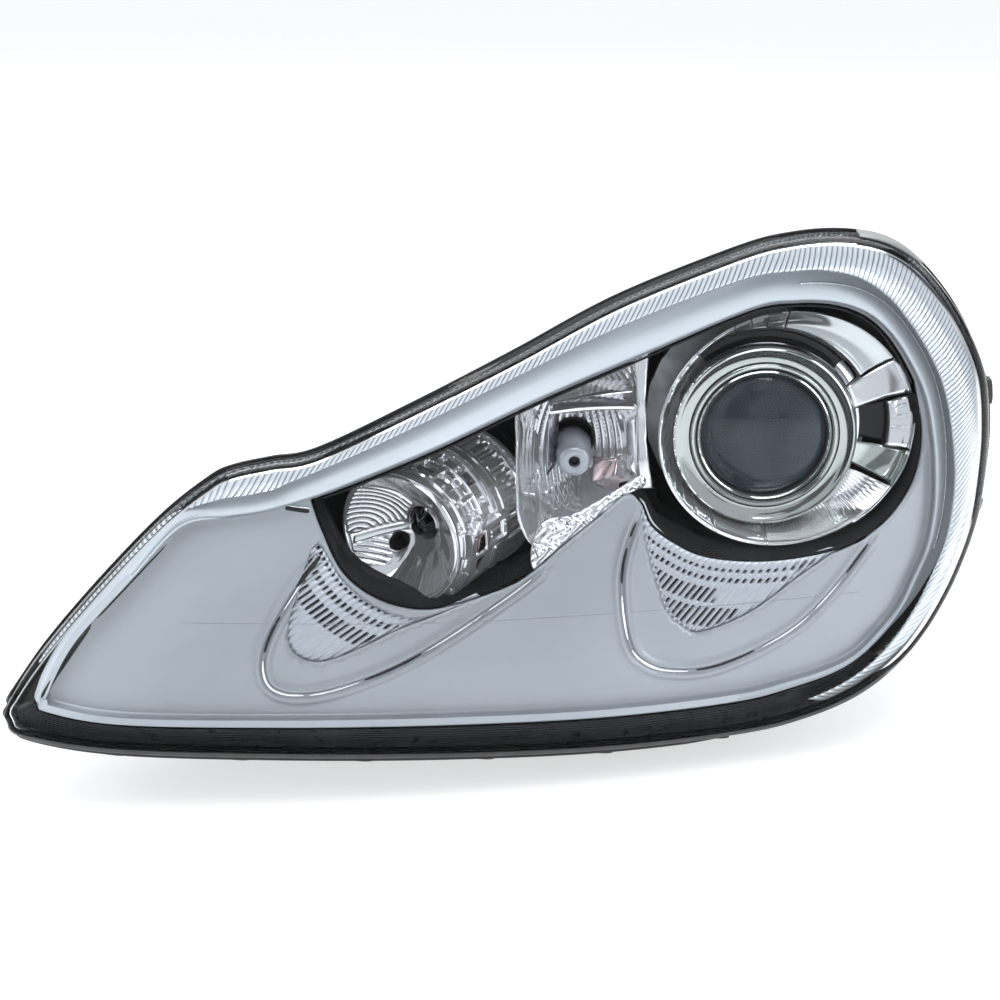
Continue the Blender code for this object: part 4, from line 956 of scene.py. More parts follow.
# ------------------------------------------------------------------ more finishes
def slotted_silver():
    s = Shader("slotted_silver")
    cut = s.attribute("cut")
    tone = s.ramp(s.noise(5, 3), [(0.3, (0.50, 0.53, 0.565)), (0.7, (0.60, 0.63, 0.665))])
    tone = s.mix(s.span(s.noise(3800, 1), 0.0, 0.2, 0.45, 0.7), tone, (0.9, 0.93, 0.96))
    tone = s.mix(cut, tone, (0.004, 0.004, 0.005))
    s.set(Base_Color=tone, Metallic=s.span(cut, 0.6, 0.0, 0, 1), Roughness=s.span(s.noise(140, 3), 0.28, 0.38))
    return s.made


def mirror_painted_glow_and_dark(name, base=0.86, rough=0.06, dark=(0.012, 0.012, 0.016)):
    """Mirror coating painted to a darker tone where the attribute "cut" rises, with a faint emission that makes it
    glow: painted light.
    """
    s = Shader(name)
    cut = s.attribute("cut")
    tone = s.ramp(s.noise(22, 3), [(0.25, (base * 0.94, base * 0.945, base * 0.96)), (0.75, (base, base * 1.0, base * 1.02))])
    tone = s.mix(cut, tone, dark)
    # Emission_Strength 0.03 makes the mirror glow faintly: painted light
    s.set(Base_Color=tone, Metallic=s.span(cut, 0.86, 0.1, 0, 1), Roughness=s.span(s.noise(120, 3), rough * 0.6, rough * 1.5),
          Emission_Color=tone, Emission_Strength=0.03,
          Normal=s.bump(s.noise(16, 2), 0.06, 0.002))
    return s.made


M_SLOTTED = slotted_silver()
M_MIRROR = mirror_painted_glow_and_dark("reflector_mirror")
M_RING = metal("ring_mirror", (0.50, 0.525, 0.505), 0.08, metallic=0.9)
M_MIRROR_SOFT = mirror_painted_glow_and_dark("soft_mirror", 0.8, 0.14)
M_SHADE = metal("shaded_mirror", (0.36, 0.345, 0.38), 0.12)
M_PEARL = metal("pale_coated_panel", (0.70, 0.73, 0.735), 0.16, metallic=0.75)
# green-tinted copy of the mirror for the shroud's lower fan: painted reflection
M_GREEN_REFLECTION = metal("mirror_painted_green_reflection", (0.62, 0.665, 0.63), 0.12, metallic=0.85)


def patch(name, outline, height, finish, step, angle=0.0, holes=(), solid=1.2, sharp=40, **more):
    """A panel over an (x, z) outline: height(points) gives its depth y, and may return a tone for each point too."""
    c, s = math.cos(math.radians(angle)), math.sin(math.radians(angle))
    turn = np.array([[c, -s], [s, c]])
    back = np.asarray(outline, float) @ turn
    flat, faces = fill(back, step, holes=[np.asarray(h, float) @ turn for h in holes])
    flat = flat @ turn.T
    made = height(flat)
    depth, tone = made if isinstance(made, tuple) else (made, None)
    return piece(name, np.stack([flat[:, 0], depth, flat[:, 1]], axis=1), faces, finish, solid=solid, sharp=sharp,
                 attributes={"cut": tone} if tone is not None else None, **more)


# ------------------------------------------------------------------ louvre panels
def louvre(name, node, outline, slant, pitch, edge, seed, rows, flip=False):
    """Ribbed panel with rows of slots that step back from its upper edge."""
    grown = offset_loop(even(catmull(outline, 300, True), 150, True), 1.6)
    edge = even(catmull(edge, 200, False), 120)
    c, s = math.cos(math.radians(slant)), math.sin(math.radians(slant))

    def height(flat):
        along = flat @ np.array([c, s])
        across = flat @ np.array([-s, c])
        lane = across / pitch
        wave = lane - np.floor(lane)
        ridge = 0.5 - 0.5 * np.cos(wave * math.tau)
        gap, place = distance(flat, edge, closed=False)
        if flip:
            place = 1 - place
        line = smooth_step((gap - 1.5) / 1.0)
        lane_no = np.floor(lane + 0.5)
        jitter = np.sin(lane_no * 12.9 + seed) * 0.25
        slot = np.zeros(len(flat))
        for centre, half, reach in rows:
            hit = 1 - smooth_step((np.abs(gap - centre - jitter) - half) / 0.5)
            slot = np.maximum(slot, hit * (1 - smooth_step((place - reach) / 0.02)))
        # towards the outer end the slots give way to thin continuous lines
        slot = np.maximum(slot, line * smooth_step((place - 0.66) / 0.06) * 0.55)
        valley = 1 - smooth_step((np.abs(wave - np.round(wave)) - 0.15) / 0.06)
        rim, _ = distance(flat, grown)
        cut = slot * valley * smooth_step((rim - 2.6) / 0.8)
        lift = ridge * 1.15 * smooth_step((rim - 1.2) / 2.0)
        return face_depth(flat[:, 0], flat[:, 1]) + 21.6 - lift + cut * 2.6, cut

    rot = slant
    return patch(name, grown, height, M_SLOTTED, 0.62, rot, solid=1.0, sharp=60, node=node, slot="satin_silver")


def offset_loop(loop, gap):
    t = np.roll(loop, -1, 0) - np.roll(loop, 1, 0)
    t /= np.maximum(np.linalg.norm(t, axis=1), 1e-9)[:, None]
    side = np.stack([t[:, 1], -t[:, 0]], axis=1)
    area = (loop[:, 0] * np.roll(loop[:, 1], -1) - np.roll(loop[:, 0], -1) * loop[:, 1]).sum()
    return loop + side * gap * (1 if area > 0 else -1)


louvre("outer_louvre", "outer_louvre_panel", TEAR_R, 48, 3.9, OPEN_LOWER[10:19], 1.0,
       [(5.5, 0.6, 0.74), (11.5, 1.0, 0.66), (21.5, 4.2, 0.42), (35.0, 5.6, 0.5)])
louvre("inner_louvre", "inner_louvre_panel", TEAR_L, 33.5, 3.7, OPEN_LOWER[0:8], 2.0,
       [(6.0, 0.6, 0.7), (14.0, 1.6, 0.6), (26.0, 4.6, 0.6)])


# ------------------------------------------------------------------ chrome inlays and slots along the two ridges
def ridge_inlays():
    bright, dark = Build(), Build()
    plans = [
        (RIDGES[0], [(0.02, 0.08, 1), (0.10, 0.175, 1), (0.20, 0.30, 0), (0.325, 0.47, 0), (0.49, 0.62, 1), (0.64, 0.76, 0), (0.775, 0.86, 0), (0.875, 0.955, 1)]),
        (RIDGES[1], [(0.03, 0.15, 0), (0.17, 0.25, 1), (0.265, 0.40, 0), (0.415, 0.52, 0), (0.535, 0.66, 1), (0.675, 0.81, 0), (0.825, 0.93, 0)]),
    ]
    for path, spans in plans:
        for a, b, is_dark in spans:
            rows = path[int(a * len(path)): int(b * len(path)) + 1]
            rows = even(rows, 28)
            sides = []
            taper = np.sin(np.linspace(0.12, math.pi - 0.12, len(rows))) ** 0.35
            for gap, rise in ((-1.0, 0.0), (-0.8, 0.45), (0.0, 0.7), (0.8, 0.45), (1.0, 0.0), (0.8, -0.6), (-0.8, -0.6)):
                flat = offset_path(rows, 0) + (offset_path(rows, 1) - rows) * (gap * taper)[:, None]
                y = face_depth(flat[:, 0], flat[:, 1]) + (19.9 if is_dark else 19.35) - rise * taper * (0.5 if is_dark else 1.0)
                sides.append(np.stack([flat[:, 0], y, flat[:, 1]], axis=1))
            rings = [np.array([side[i] for side in sides]) for i in range(len(rows))]
            (dark if is_dark else bright).grid(rings, True, False, True)
    bright.make("ridge_chrome_inlays", M_CHROME, slot="chrome", sharp=50)
    dark.make("ridge_slots", M_BLACK_FINE, slot="black_plastic", sharp=50)


ridge_inlays()


# ------------------------------------------------------------------ black surrounds behind the opening
def matt_finish():
    s = Shader("matt_black_surround")
    tone = s.ramp(s.noise(26, 3), [(0.3, (0.008, 0.008, 0.009)), (0.7, (0.015, 0.015, 0.016))])
    s.set(Base_Color=tone, Roughness=s.span(s.noise(70, 2), 0.6, 0.78), Specular_IOR_Level=0.12,
          Normal=s.bump(s.noise(60, 2), 0.06, 0.001))
    return s.made


M_MATT = matt_finish()


def surrounds():
    first, last, _ = chain_opening()
    lower = even(catmull(OPEN_LOWER, 800, False), 420)
    peak = int(np.argmin(np.hypot(lower[:, 0] - 76, lower[:, 1] + 1)))
    t = np.gradient(lower, axis=0)
    for _ in range(14):
        t[1:-1] = (t[:-2] + t[1:-1] + t[2:]) / 3
    t /= np.linalg.norm(t, axis=1)[:, None]
    inward = np.stack([-t[:, 1], t[:, 0]], axis=1)
    if inward[100, 1] < 0:
        inward = -inward
    width = np.interp(np.arange(len(lower)), [0, 60, peak - 10, peak, peak + 40, 419], [12, 13, 7, 4, 13, 11])
    for name, node, a, b in (("high_beam_baffle", "high_beam_surround", 0, peak + 4), ("projector_baffle", "projector_surround", peak - 3, 420)):
        rows = []
        wide = node == "projector_surround"
        plan = (((0.02, 22.4), (0.06, 21.0), (0.14, 20.8), (0.34, 22.6), (0.5, 25.6), (0.62, 31.0), (0.66, 37.0)) if wide else
                ((0.02, 22.4), (0.03, 21.0), (0.05, 20.8), (0.06, 24.0), (0.07, 34.0), (0.08, 48.0), (0.10, 62.0)))
        for share, depth in plan:
            flat = lower + inward * (width * share)[:, None]
            y = face_depth(flat[:, 0], flat[:, 1]) + depth
            if node == "high_beam_surround" and 0.2 < share < 0.9:
                y = y - 1.1 * (np.abs((np.arange(len(y)) / 5.0) % 1 - 0.5) * 2)
            rows.append(np.stack([flat[:, 0], y, flat[:, 1]], axis=1)[a:b])
        Build().grid(rows, closed=False).make(name, M_MATT, node=node, slot="black_plastic", solid=1.2)
    # dark inner wall behind the opening's upper edge
    ring = np.arange(first, last + 1)
    rows = []
    for gap, depth in ((4.6, 21.2), (4.8, 23.0), (4.9, 30.0), (5.0, 38.0)):
        flat = inset(gap, STEP)[ring]
        y = face_depth(flat[:, 0], flat[:, 1]) + depth
        rows.append(np.stack([flat[:, 0], y, flat[:, 1]], axis=1))
    Build().grid(rows, closed=False).make("upper_inner_wall", M_BLACK_FINE, slot="black_plastic", solid=1.2)


surrounds()


# ------------------------------------------------------------------ projector
def around(phi, radius, y, centre=(PROJ[0], PROJ[2])):
    phi = np.asarray(phi, float)
    return np.stack([centre[0] + radius * np.cos(phi), np.broadcast_to(y, phi.shape), centre[1] + radius * np.sin(phi)], axis=-1)


FWD = (0.0, -1.0, 0.0)


def projector():
    c = (PROJ[0], 0.0, PROJ[2])  # heights along FWD are -y
    glass = [(0.0, -127.2)]
    for k in range(1, 25):
        r = 38.2 * k / 24
        glass.append((r, -(127.2 + (r / 38.2) ** 2 * 8.2 + (r / 38.2) ** 6 * 1.6)))
    glass += [(39.3, -138.2), (39.3, -141.2), (38.0, -142.0), (0.0, -142.0)]
    clean(turned(glass, c, FWD, 128).make("projector_glass", M_GLASS, body="projector", node="projector_lens", slot="optic_glass"))
    # profile for faint rings of a dark shutter bowl behind the glass; it is listed but not built
    rings = [(38.6, -136.0)]
    for k, r in enumerate((36.4, 34.6, 33.0, 31.6)):
        rings += [(r + 0.45, -134.3 + k * 0.9), (r, -134.05 + k * 0.9), (r - 0.45, -134.3 + k * 0.9)]
    # ring group round the glass
    group = [(38.5, -136.5), (38.6, -134.2), (39.3, -132.6), (40.2, -132.0), (41.0, -132.6), (41.35, -134.0), (41.7, -134.2), (42.2, -133.0), (43.2, -131.6),
             (44.4, -131.3), (45.2, -132.0), (45.6, -133.2), (46.4, -133.4), (52.6, -130.9), (53.6, -130.0), (54.9, -129.7), (56.0, -130.4), (56.5, -131.8), (56.4, -134.0),
             (55.6, -138.5), (54.0, -146.0), (53.0, -150.5), (51.2, -150.5), (50.4, -140.0), (48.0, -138.0), (42.0, -138.5)]
    clean(turned(group, c, FWD, 160).make("lens_ring_group", M_RING, body="projector", node="lens_retainer", slot="chrome", sharp=30,
                                          attributes=None))
    for n, (r, h) in enumerate(((38.6, 133.6), (41.5, 133.9), (45.9, 133.1))):
        line = around(np.linspace(0, math.tau, 180, endpoint=False), r, h)
        tube(line, 0.42, 8, True).make(f"ring_shadow_gap_{n + 1}", M_BLACK_FINE, body="projector", slot="black_plastic")
    # small raised key marks on the conical annulus
    marks = Build()
    for a in (222, 226, 229):
        p = around(np.radians([a]), 47.5, 132.6)[0]
        turned([(0, 0), (0.55, 0), (0.4, 0.35), (0, 0.4)], p, FWD, 12, build=marks)
    clean(marks.make("retainer_key_marks", M_SHADE, body="projector", slot="chrome"))


def rim_point(phi, grow=0.0):
    """The shroud's outer rim at angle phi about the lens axis: radius from that axis and depth y."""
    phi = np.asarray(phi, float)
    cx, cz, a, b = 175.5 - PROJ[0], 26.0 - PROJ[2], 79.5 + grow, 67.5 + grow
    dx, dz = np.cos(phi), np.sin(phi)
    A = (dx / a) ** 2 + (dz / b) ** 2
    B = -2 * (dx * cx / a**2 + dz * cz / b**2)
    C = (cx / a) ** 2 + (cz / b) ** 2 - 1
    r = (-B + np.sqrt(B * B - 4 * A * C)) / (2 * A)
    x, z = PROJ[0] + r * dx, PROJ[2] + r * dz
    return r, 132 + (x - 176) * 0.30 + (z - 28) * 0.28


def shroud_sector(build, start, end, profile, steps=None):
    """A strip of the shroud between two angles; profile lists (share from throat to rim, extra depth) rows."""
    steps = steps or max(3, int(abs(end - start) / 1.5))
    phi = np.radians(np.linspace(start, end, steps + 1))
    outer, depth = rim_point(phi)
    rows = []
    for share, extra in profile:
        r = 57.9 + (outer - 57.9) * share
        throat = 149.0
        y = throat + (depth - throat) * share**1.15 + extra
        rows.append(around(phi, r, y))
    build.grid(rows, closed=False)
    return build


def shroud():
    more = dict(body="projector", slot="chrome")
    smooth = [(k / 12, 5.5 * math.sin(k / 12 * math.pi) ** 1.2) for k in range(13)]
    roll = [(1.0, 0.0), (1.012, -0.7), (1.03, -0.9), (1.045, -0.2), (1.05, 1.6), (1.048, 4.0)]

    # 1: upper right pale panel, then the polished band over the top
    shroud_sector(Build(), 27.5, 78, smooth[4:] + roll, 60).make("shroud_upper_panel", M_PEARL, node="projector_shroud", solid=1.1, **more)
    shroud_sector(Build(), 27.5, 78, [(0.0, 2.5), (0.1, 4.0), (0.2, 5.5), (0.27, 6.8)], 60).make("shroud_throat_right", M_SHADE, solid=1.1, **more)
    stripe = Build()
    for a, b, lift in ((79, 88, 0.6), (88.6, 97, -0.8), (97.6, 106, 0.5), (106.6, 118, -0.7), (118.6, 128, 0.8)):
        prof = [(s, e - lift * (1 if 0.36 < s < 0.98 else 0.2)) for s, e in smooth[4:]] + roll
        shroud_sector(stripe, a, b, prof, 12)
    stripe.make("shroud_top_band", M_MIRROR_SOFT, solid=1.1, **more)
    # 2: black air slot over the lens with its polished lower lip
    phi = np.radians(np.linspace(44, 129, 90))
    outer, depth = rim_point(phi)
    rows = []
    for r, y in ((57.6, 134.5), (58.2, 138.0), (60.2, 141.0), (64.6, 141.4), (66.2, 139.4), (66.8, 136.4), (67.2, 135.4)):
        rows.append(around(phi, r, y + (depth - 140) * 0.12))
    Build().grid(rows, closed=False).make("shroud_air_slot", M_BLACK_FINE, body="projector", slot="black_plastic", solid=1.0)
    rows = [around(phi, r, y) for r, y in ((56.9, 143.0), (57.2, 137.0), (57.9, 134.2), (58.7, 133.8), (59.1, 135.0), (58.9, 140.0))]
    Build().grid(rows, closed=False).make("slot_lower_lip", M_SHADE, body="projector", slot="chrome", solid=0.6)
    # 3: right-hand fan of strips
    fan = Build()
    shroud_sector(fan, 12.5, 26.5, [(s, e * 0.5 + 1.2) for s, e in smooth] + roll)
    fan.make("shroud_fan_upper", M_MIRROR, solid=1.1, **more)
    low_fan = Build()
    shroud_sector(low_fan, -22.5, -9.0, [(s, e * 0.35 + 3.2) for s, e in smooth[:-1]] + [(0.99, 1.2)] + roll)
    low_fan.make("shroud_fan_lower", M_GREEN_REFLECTION, solid=1.1, **more)
    side = Build()
    shroud_sector(side, -8.0, 11.5, [(0.60, 1.0), (0.62, -0.6), (0.66, -1.0), (0.74, -0.4), (0.82, 0.6), (0.9, 0.4), (0.97, -0.2)] + roll)
    shroud_sector(side, -8.0, 11.5, [(0.0, 4.0), (0.04, 3.0), (0.08, 3.4), (0.10, 5.6)])
    side.make("shroud_fan_middle", M_MIRROR, solid=1.1, **more)
    block = Build()
    shroud_sector(block, -7.6, 11.1, [(0.09, 6.0), (0.12, 11.0), (0.3, 10.4), (0.56, 7.6), (0.6, 5.0), (0.61, 1.6)])
    block.make("shroud_dark_window", M_BLACK_FINE, body="projector", slot="black_plastic", solid=1.0)
    bars = Build()
    for a in (-0.5, 4.0, 8.0):
        shroud_sector(bars, a, a + 1.1, [(0.64, 0.0), (0.645, -1.6), (0.8, -1.5), (0.93, -1.3), (0.94, 0.2)], 3)
    bars.make("shroud_window_bars", M_PEARL, solid=0.8, **more)
    # 4: radially ribbed patch to the lower right, thinning out round the bottom
    phi = np.radians(np.linspace(-88, -23.5, 66 * 6 + 1))
    saw = np.abs(((np.degrees(phi) + 88) / 1.95) % 1 - 0.5) * 2
    outer, depth = rim_point(phi)
    rows = []
    for k in range(9):
        share = k / 8
        r = 57.6 + (outer - 57.6) * share
        y = 140.0 + (depth - 140.0) * share**1.1 + 2.2 * math.sin(share * math.pi) - (saw - 0.5) * 1.0 * math.sin(min(1.0, share * 1.3) * math.pi) ** 0.5
        rows.append(around(phi, r, y))
    for share, extra in roll:
        rows.append(around(phi, 57.6 + (outer - 57.6) * share, depth + extra))
    Build().grid(rows, closed=False).make("shroud_ribbed_patch", M_MIRROR_SOFT, solid=1.0, **more)
    # 5: stacked facets on the left and the cluster above them
    facets = Build()
    lifts = [(129, 136, 1.4, 1.0), (136.6, 143, -1.2, 0.93), (143.6, 151, 1.9, 1.0), (151.6, 158, -0.8, 0.88), (158.6, 166, 1.3, 0.98), (166.6, 173, -1.0, 0.86),
             (173.6, 181, 1.2, 0.97), (181.6, 188, -0.8, 0.88), (188.6, 196, 1.3, 0.98), (196.6, 204, -0.9, 0.9), (204.6, 213, 1.0, 0.97), (213.6, 224, -0.6, 0.92),
             (224.6, 238, 0.6, 0.97), (238.6, 271.5, 0.0, 1.0)]
    for a, b, lift, size in lifts:
        prof = [(0.0, 3.2), (0.2, 2.8 - lift), (0.24, 1.0 - lift), (0.5, 1.8 - lift), (0.54, -0.4 - lift), (0.8 * size, 0.8 - lift), (0.84 * size, -1.2), (size, -0.4)]
        shroud_sector(facets, a, b, prof, max(3, int((b - a) / 2)))
    facets.make("shroud_stacked_facets", M_MIRROR, solid=1.0, sharp=25, **more)
    edge = Build()
    phi = np.radians(np.linspace(128, 272, 120))
    outer, depth = rim_point(phi)
    rows = [around(phi, 57.9 + (outer - 57.9) * s, depth + e) for s, e in [(0.99, 1.4)] + roll]
    edge.grid(rows, closed=False).make("shroud_rim_left", M_MIRROR, solid=0.9, **more)
    # thin bright crescent that stands off the rim on the right
    phi = np.radians(np.linspace(-44, 24, 70))
    outer, depth = rim_point(phi, 1.2)
    width = np.sin(np.linspace(0.02, math.pi - 0.02, 70)) ** 0.6
    rows = []
    for a, e in ((0.0, 1.5), (0.35, -1.2), (0.6, -1.7), (0.9, -1.2), (1.0, 1.0)):
        rows.append(around(phi, outer + 0.3 + a * 1.9 * width, depth + e + 0.5))
    Build().grid(rows, closed=False).make("shroud_crescent", M_CHROME, body="projector", slot="chrome", solid=0.6)


projector()
shroud()

# ------------------------------------------------------------------ high-beam lamp
E_RIGHT = np.cross((0, 0, 1.0), RING_OUT)
E_RIGHT /= np.linalg.norm(E_RIGHT)
if E_RIGHT[0] < 0:
    E_RIGHT = -E_RIGHT
E_UP = np.cross(RING_OUT, E_RIGHT)
if E_UP[2] < 0:
    E_UP = -E_UP


def lamp(a, b, depth):
    """Local (right, up, depth into the lamp) to design axes."""
    a, b, depth = np.broadcast_arrays(np.asarray(a, float), np.asarray(b, float), np.asarray(depth, float))
    return RING + a[..., None] * E_RIGHT + b[..., None] * E_UP - depth[..., None] * RING_OUT


BOWL_R, BOWL_D = 39.6, 27.0


def bowl():
    circle = np.linspace(0, math.tau, 200, endpoint=False)
    outline = np.stack([BOWL_R * np.cos(circle), BOWL_R * np.sin(circle)], axis=1)
    hole = np.stack([9.2 * np.cos(circle[::6]), 9.2 * np.sin(circle[::6])], axis=1)
    port = np.stack([-15.5 + 5.4 * np.cos(circle[::8]), -13.2 + 5.4 * np.sin(circle[::8])], axis=1)
    flat, faces = fill(outline, 0.72, holes=[hole, port])
    a, b = flat[:, 0], flat[:, 1]
    r = np.hypot(a, b)
    d = BOWL_D * (1 - (r / BOWL_R) ** 2) + 0.6
    # concentric flutes of the upper-left quarter, centred on the bar's outer end
    e = np.hypot((a + 35.5) / 1.0, (b + 6.0) / 1.12)
    flute = np.abs(np.sin(e / 3.05 * math.pi)) ** 0.8
    zone = smooth_step((b + 4.5 - (a + 34) * 0.19) / 1.5) * smooth_step((33.5 - e) / 1.5) * smooth_step((r - 12) / 3)
    d = d - 1.5 * flute * zone
    # raised bar from the left rim to the socket
    line = (b + 8.4) - (a + 34) * 0.19
    bar = (1 - smooth_step((np.abs(line) - 2.2) / 0.8)) * smooth_step((-7.5 - a) / 1.5)
    # scallops under the bar
    low_zone = smooth_step((-b - 11 + (a + 34) * 0.19) / 1.5) * smooth_step((-17 - a) / 3) * smooth_step((b + 26) / 2)
    d = d - 1.2 * np.abs(np.sin((a * 0.35 + b) / 3.2 * math.pi)) * low_zone
    # long soft facets over the rest
    ang = np.arctan2(b, a)
    rest = smooth_step((r - 14) / 6) * (1 - zone) * (1 - bar) * (1 - low_zone)
    d = d - 0.55 * np.cos(ang * 11) * rest * smooth_step((r - 16) / 10)
    points = lamp(a, b, d)
    return piece("high_beam_bowl", points, faces, M_MIRROR, body="carrier", node="high_beam_reflector", slot="chrome", solid=1.2, sharp=50)


def lamp_turned(profile, name, finish, steps=96, clear=True, **more):
    """Turned about the lamp's axis: profile of (radius, depth)."""
    prof = [(r, -d) for r, d in profile]
    obj = turned(prof, RING, RING_OUT, steps).make(name, finish, body="carrier", **more)
    return clean(obj)


def bowl_bar():
    rows = []
    for t in np.linspace(0, 1, 26):
        a = -36.2 + 27.6 * t
        b = -8.4 + (a + 34) * 0.19
        half = 2.1 + 0.9 * (1 - t) + 0.8 * max(0.0, (t - 0.8) / 0.2)
        ring = []
        for k in range(9):
            u = -1 + k / 4
            r = math.hypot(a, b + u * half)
            ring.append((a, b + u * half, BOWL_D * (1 - (r / BOWL_R) ** 2) + 0.4 - 2.6 * (1 - abs(u) ** 6)))
        ring = np.array(ring)
        rows.append(lamp(ring[:, 0], ring[:, 1], ring[:, 2]))
    Build().grid(rows, closed=False).make("bowl_bar", M_PEARL, body="carrier", slot="chrome", solid=0.8, sharp=30)


def high_beam():
    bowl()
    bowl_bar()
    lamp_turned([(39.0, 1.6), (39.2, -0.6), (39.9, -1.5), (40.6, -0.9), (40.9, 0.2), (41.2, -0.2), (41.9, -0.6), (42.3, 0.3), (42.3, 3.0), (41.0, 4.2), (39.6, 3.6)],
                "high_beam_rim", M_MIRROR, 160, node="high_beam_ring", slot="chrome", sharp=30)
    lamp_turned([(8.9, 24.2), (9.6, 23.2), (10.6, 23.6), (10.9, 25.4), (10.0, 27.0), (9.2, 29.5), (7.4, 30.0), (7.2, 32.0), (5.6, 32.4), (5.5, 40.0), (8.9, 40.0)],
                "bulb_collar", M_SHADE, 72, slot="chrome", sharp=30)
    lamp_turned([(0.0, 20.4), (1.6, 20.8), (3.0, 22.0), (3.6, 23.8), (3.7, 36.0), (0.0, 36.0)], "high_beam_capsule", M_BULB, 48, node="high_beam_bulb", slot="optic_glass")
    lamp_turned([(0.0, 22.2), (1.5, 22.2), (2.2, 23.0), (2.3, 34.0), (0.0, 34.0)], "bulb_dark_tip", M_BLACK_FINE, 32, slot="black_plastic")
    lamp_turned([(0, 37.0), (5.2, 37.0), (5.2, 44), (8.4, 44.4), (8.4, 52), (11.0, 52.4), (11.0, 56), (7.2, 57), (7.2, 64), (0, 64)], "bulb_base", M_STEEL, 48, slot="steel")
    # dark port in the lower left of the bowl
    port = Build()
    phi = np.linspace(0, math.tau, 60, endpoint=False)
    d0 = BOWL_D * (1 - (20.4 / BOWL_R) ** 2)
    rings = []
    for r, d in ((6.5, d0 + 0.2), (6.2, d0 - 1.4), (5.5, d0 - 1.3), (5.1, d0 + 1.0), (4.9, d0 + 9.0), (3.0, d0 + 9.6), (0.02, d0 + 9.8)):
        aa, bb = -15.5 + r * np.cos(phi), -13.2 + r * np.sin(phi)
        slope = BOWL_D * (1 - (np.hypot(aa, bb) / BOWL_R) ** 2) - d0
        rings.append(lamp(aa, bb, d + slope * (1 if d < d0 + 2 else 0)))
    port.grid(rings).make("bowl_port", M_BLACK_FINE, body="carrier", slot="black_plastic", solid=0.5)


def drum():
    """Stepped metallised drum behind the high-beam ring: radius by angle and depth."""
    psi = np.linspace(0, 360, 300, endpoint=False)
    depth = np.linspace(3.6, 77.5, 150)
    P, D = np.meshgrid(psi, depth)
    P = np.where(P > 200, P - 360, P)

    def box_mask(lo_p, hi_p, lo_d, hi_d, soft_p=0.5, soft_d=0.3):
        return (smooth_step((P - lo_p) / soft_p) * smooth_step((hi_p - P) / soft_p) * smooth_step((D - lo_d) / soft_d) * smooth_step((hi_d - D) / soft_d))

    R = np.full(P.shape, 41.2)
    tone = np.zeros(P.shape)

    def put(mask, value):
        nonlocal R
        R = R * (1 - mask) + value * mask

    put(box_mask(-181, 181, 8, 40), 42.6)
    put(box_mask(12, 200, 14, 22), 40.0)
    put(box_mask(12, 200, 26, 34), 44.0)
    for k in range(9):
        put(box_mask(16 + k * 15, 22 + k * 15, 9.5, 25.0, 0.8), 43.6 if k % 2 else 39.4)
        put(box_mask(24 + k * 15, 29 + k * 15, 27.0, 33.0, 0.8), 41.0)
    put(box_mask(-181, 181, 38, 47.5), 46.6)
    put(box_mask(-181, 181, 41.5, 44.5), 45.6)
    put(box_mask(-181, 181, 47.5, 71), 42.6)
    for k in range(40):
        put(box_mask(-40 + k * 9, -40 + k * 9 + 5.5, 49.5, 66.5, 0.7), 45.0)
    put(box_mask(-181, 181, 70.5, 74.5), 46.4)
    put(box_mask(-11, 11, 5, 47), 48.2)
    put(box_mask(-6.5, 5.5, 25, 42), 46.0)
    put(box_mask(-3.5, 2.5, 28, 38), 47.0)
    put(box_mask(-7.5, 6.5, 9, 21), 46.8)
    put(box_mask(-50, -12, 9, 47), 45.4)
    # tone marks where the mirror shader paints the drum dark: painted shade in the recessed pocket and painted dark
    # reflections on the three patches below
    dark = box_mask(-41, -16, 16, 31)
    put(dark, 40.6)
    tone = np.maximum(tone, dark)
    put(box_mask(-36, -13, 34, 73), 46.8)
    put(box_mask(-54, -49, 6, 48), 48.0)
    tone = np.maximum(tone, box_mask(40, 52, 28, 36.5) * 0.9)
    tone = np.maximum(tone, box_mask(66, 86, 15, 21) * 0.8)
    tone = np.maximum(tone, box_mask(100, 180, 50, 69) * 0.4)
    a, b = R * np.cos(np.radians(P)), R * np.sin(np.radians(P))
    rows = [lamp(a[k], b[k], D[k]) for k in range(len(depth))]
    Build().grid(rows).make("high_beam_body", M_MIRROR, body="carrier", node="high_beam_drum", slot="chrome", solid=1.2, sharp=28, attributes={"cut": tone.ravel()})
    # painted warm reflection on the shelf
    phi = np.radians(np.linspace(-6.0, 5.0, 14))
    rows = []
    for r, d in ((46.9, 10.0), (47.9, 10.4), (48.1, 11.0), (48.1, 19.0), (47.9, 19.6), (46.9, 20.0)):
        rows.append(lamp(r * np.cos(phi), r * np.sin(phi), np.full(len(phi), d)))
    Build().grid(rows, closed=False).make("drum_painted_warm_reflection", M_WARM_REFLECTION, body="carrier", slot="chrome", solid=0.6)


# pink-tinted copy of the mirror: painted warm reflection
M_WARM_REFLECTION = metal("mirror_painted_warm_reflection", (0.74, 0.60, 0.60), 0.18)
high_beam()
drum()


# ------------------------------------------------------------------ turn signal
TURN_EDGE = [(10, 30), (11, 55), (28, 64), (59, 79), (86, 89), (87, 60), (86, 36), (86, 6), (72, -5), (52, -14), (34, -24), (20, -28), (12, -14), (10, 8)]


